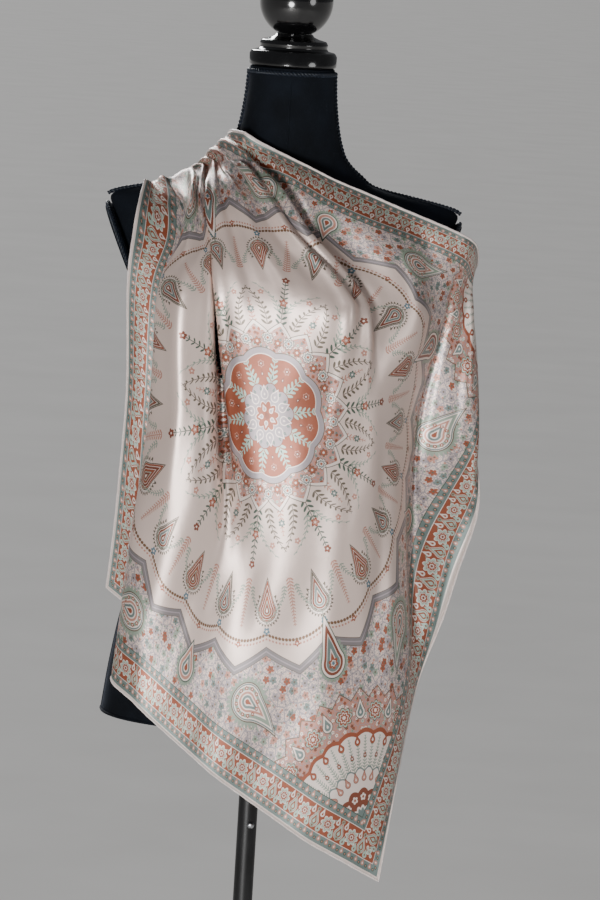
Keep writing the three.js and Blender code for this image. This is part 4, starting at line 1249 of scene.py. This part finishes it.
class OBJECT_OT_neck_turnings(bpy.types.Operator):
    """Turns the neck cap and the ball that stands on it"""
    bl_idname = "object.neck_turnings"
    bl_label = "Neck cap and finial"

    def execute(self, context):
        gloss = lacquer()
        profile = [(r, NECK_TOP + z) for r, z in CAP_PROFILE]
        cap = new_piece("cap_turning", turned_mesh("cap_turning", profile), [gloss], ("neck_cap",))
        round_edges(cap, 0.0009)
        low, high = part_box("finial")
        radius = (high.x - low.x) / 2 / MM
        seat, centre = low.z / MM, high.z / MM - (high.x - low.x) / 2 / MM
        profile = [(0, seat)]
        for n in range(61):
            angle = math.pi * n / 60
            z = centre - radius * math.cos(angle)
            if z > seat + 0.3:
                profile.append((max(0.0, radius * math.sin(angle)), z))
            elif n and centre - radius * math.cos(math.pi * (n + 1) / 60) > seat + 0.3:
                profile.append((radius * math.sin(angle), seat))
        profile[-1] = (0, profile[-1][1])
        new_piece("finial_ball", turned_mesh("finial_ball", profile), [gloss], ("finial",))
        return {"FINISHED"}


class OBJECT_OT_stand(bpy.types.Operator):
    """Makes the pole with its spring pin, the plate under the form and the round base"""
    bl_idname = "object.form_stand"
    bl_label = "Pole and base"

    def execute(self, context):
        coat = powder_coat()
        discs = (("pole", "pole_tube"), ("carrier_plate", "carrier_disc"), ("base_plate", "base_disc"))
        for node, name in discs:
            low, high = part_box(node)
            r, z0, z1 = high.x / MM, low.z / MM, high.z / MM
            mesh = turned_mesh(name, [(0, z0), (r, z0), (r, z1), (0, z1)])
            piece = new_piece(name, mesh, [coat], (node,))
            round_edges(piece, 0.0022 if node == "base_plate" else 0.0008)
        bore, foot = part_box("pole")[1].x / MM + REST_GAP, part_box("base_hub")[0].z / MM
        top = HUB_PROFILE[-1][1]
        profile = [(bore, foot), (HUB_PROFILE[0][0], foot), *HUB_PROFILE, (bore, top), (bore, foot)]
        hub = new_piece("base_boss", turned_mesh("base_boss", profile), [coat], ("base_hub",))
        round_edges(hub, 0.0009)
        bm = bmesh.new()
        bmesh.ops.create_uvsphere(bm, u_segments=32, v_segments=16, radius=PIN_RADIUS)
        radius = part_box("pole")[1].x
        bmesh.ops.scale(bm, vec=(1, 0.7, 1), verts=bm.verts)
        bmesh.ops.translate(bm, vec=(PIN_PLACE[0], -radius + 0.0006, PIN_PLACE[1]), verts=bm.verts)
        new_piece("pole_pin", mesh_from(bm, "pole_pin", math.pi), [zinc_plate()])
        return {"FINISHED"}


class OBJECT_OT_stage(bpy.types.Operator):
    """Sets the pale floor, the soft lights and the camera at the photograph's angle"""
    bl_idname = "object.scarf_stage"
    bl_label = "Stage"

    def execute(self, context):
        scene = context.scene
        bm = bmesh.new()
        bmesh.ops.create_grid(bm, x_segments=8, y_segments=8, size=90.0)
        floor = bpy.data.objects.new("studio_floor", mesh_from(bm, "studio_floor"))
        floor.data.materials.append(studio_floor())
        scene.collection.objects.link(floor)

        world = bpy.data.worlds.new("studio_surround")
        scene.world = world
        world.use_nodes = True
        back = world.node_tree.nodes["Background"]
        back.inputs["Color"].default_value = (*scene.stage_colours.sky, 1.0)
        back.inputs["Strength"].default_value = 0.13
        for name, spot, aim, size, power in (
                ("key", (-0.95, -3.6, 0.75), (0.0, 0.0, 1.0), 1.0, 92.0),
                ("fill", (2.9, -2.2, 1.5), (0.0, 0.0, 1.05), 1.2, 16.0)):
            light = bpy.data.lights.new(name, "AREA")
            light.shape = "DISK"
            light.size = size
            light.energy = power
            lamp = bpy.data.objects.new(name, light)
            lamp.location = spot
            lamp.rotation_euler = (Vector(aim) - Vector(spot)).to_track_quat("-Z", "Y").to_euler()
            scene.collection.objects.link(lamp)

        # A low wide light from behind keeps the floor pale and the cloth's front in the key's own light
        sun = bpy.data.lights.new("floor_wash", "SUN")
        sun.energy = 2.4
        sun.angle = math.radians(25)
        wash = bpy.data.objects.new("floor_wash", sun)
        wash.rotation_euler = Vector((0.3, -0.88, -0.42)).to_track_quat("-Z", "Y").to_euler()
        scene.collection.objects.link(wash)

        # The photograph looks 7.5 degrees down from 5 m, and is turned 3.5 degrees clockwise
        aim, away, pitch, roll = Vector((0.034, 0.0, 1.047)), 5.0, math.radians(7.5), math.radians(3.5)
        ahead = Vector((0, math.cos(pitch), -math.sin(pitch)))
        lens = bpy.data.cameras.new("photo_view")
        lens.sensor_fit = "VERTICAL"
        lens.sensor_height = 36.0
        lens.lens = 178.6
        lens.clip_end = 400.0
        camera = bpy.data.objects.new("photo_view", lens)
        turned = ahead.to_track_quat("-Z", "Y").to_matrix() @ Matrix.Rotation(roll, 3, "Z")
        camera.matrix_world = Matrix.Translation(aim - ahead * away) @ turned.to_4x4()
        scene.collection.objects.link(camera)
        scene.camera = camera
        return {"FINISHED"}


class VIEW3D_PT_silk_square(bpy.types.Panel):
    bl_label = "Silk square"
    bl_idname = "VIEW3D_PT_silk_square"
    bl_space_type = "VIEW_3D"
    bl_region_type = "UI"
    bl_category = "Silk square"

    def draw(self, context):
        layout = self.layout
        for group in (context.scene.scarf_sizes, context.scene.form_sizes, context.scene.stage_colours):
            for name in group.__annotations__:
                layout.prop(group, name)
        for operator in OPERATORS:
            layout.operator(operator.bl_idname)


PROPERTY_GROUPS = {"scarf_sizes": ScarfSizes, "form_sizes": FormSizes, "stage_colours": StageColours}
OPERATORS = (
    OBJECT_OT_stage, OBJECT_OT_velvet_form, OBJECT_OT_silk_square, OBJECT_OT_neck_turnings, OBJECT_OT_stand,
)


def register():
    for name, group in PROPERTY_GROUPS.items():
        bpy.utils.register_class(group)
        setattr(bpy.types.Scene, name, bpy.props.PointerProperty(type=group))
    for operator in OPERATORS:
        bpy.utils.register_class(operator)
    bpy.utils.register_class(VIEW3D_PT_silk_square)


def unregister():
    bpy.utils.unregister_class(VIEW3D_PT_silk_square)
    for operator in reversed(OPERATORS):
        bpy.utils.unregister_class(operator)
    for name, group in PROPERTY_GROUPS.items():
        delattr(bpy.types.Scene, name)
        bpy.utils.unregister_class(group)


def main():
    register()
    bpy.ops.object.scarf_stage()
    bpy.ops.object.velvet_form()
    bpy.ops.object.silk_square()
    bpy.ops.object.neck_turnings()
    bpy.ops.object.form_stand()


if __name__ == "__main__":
    main()
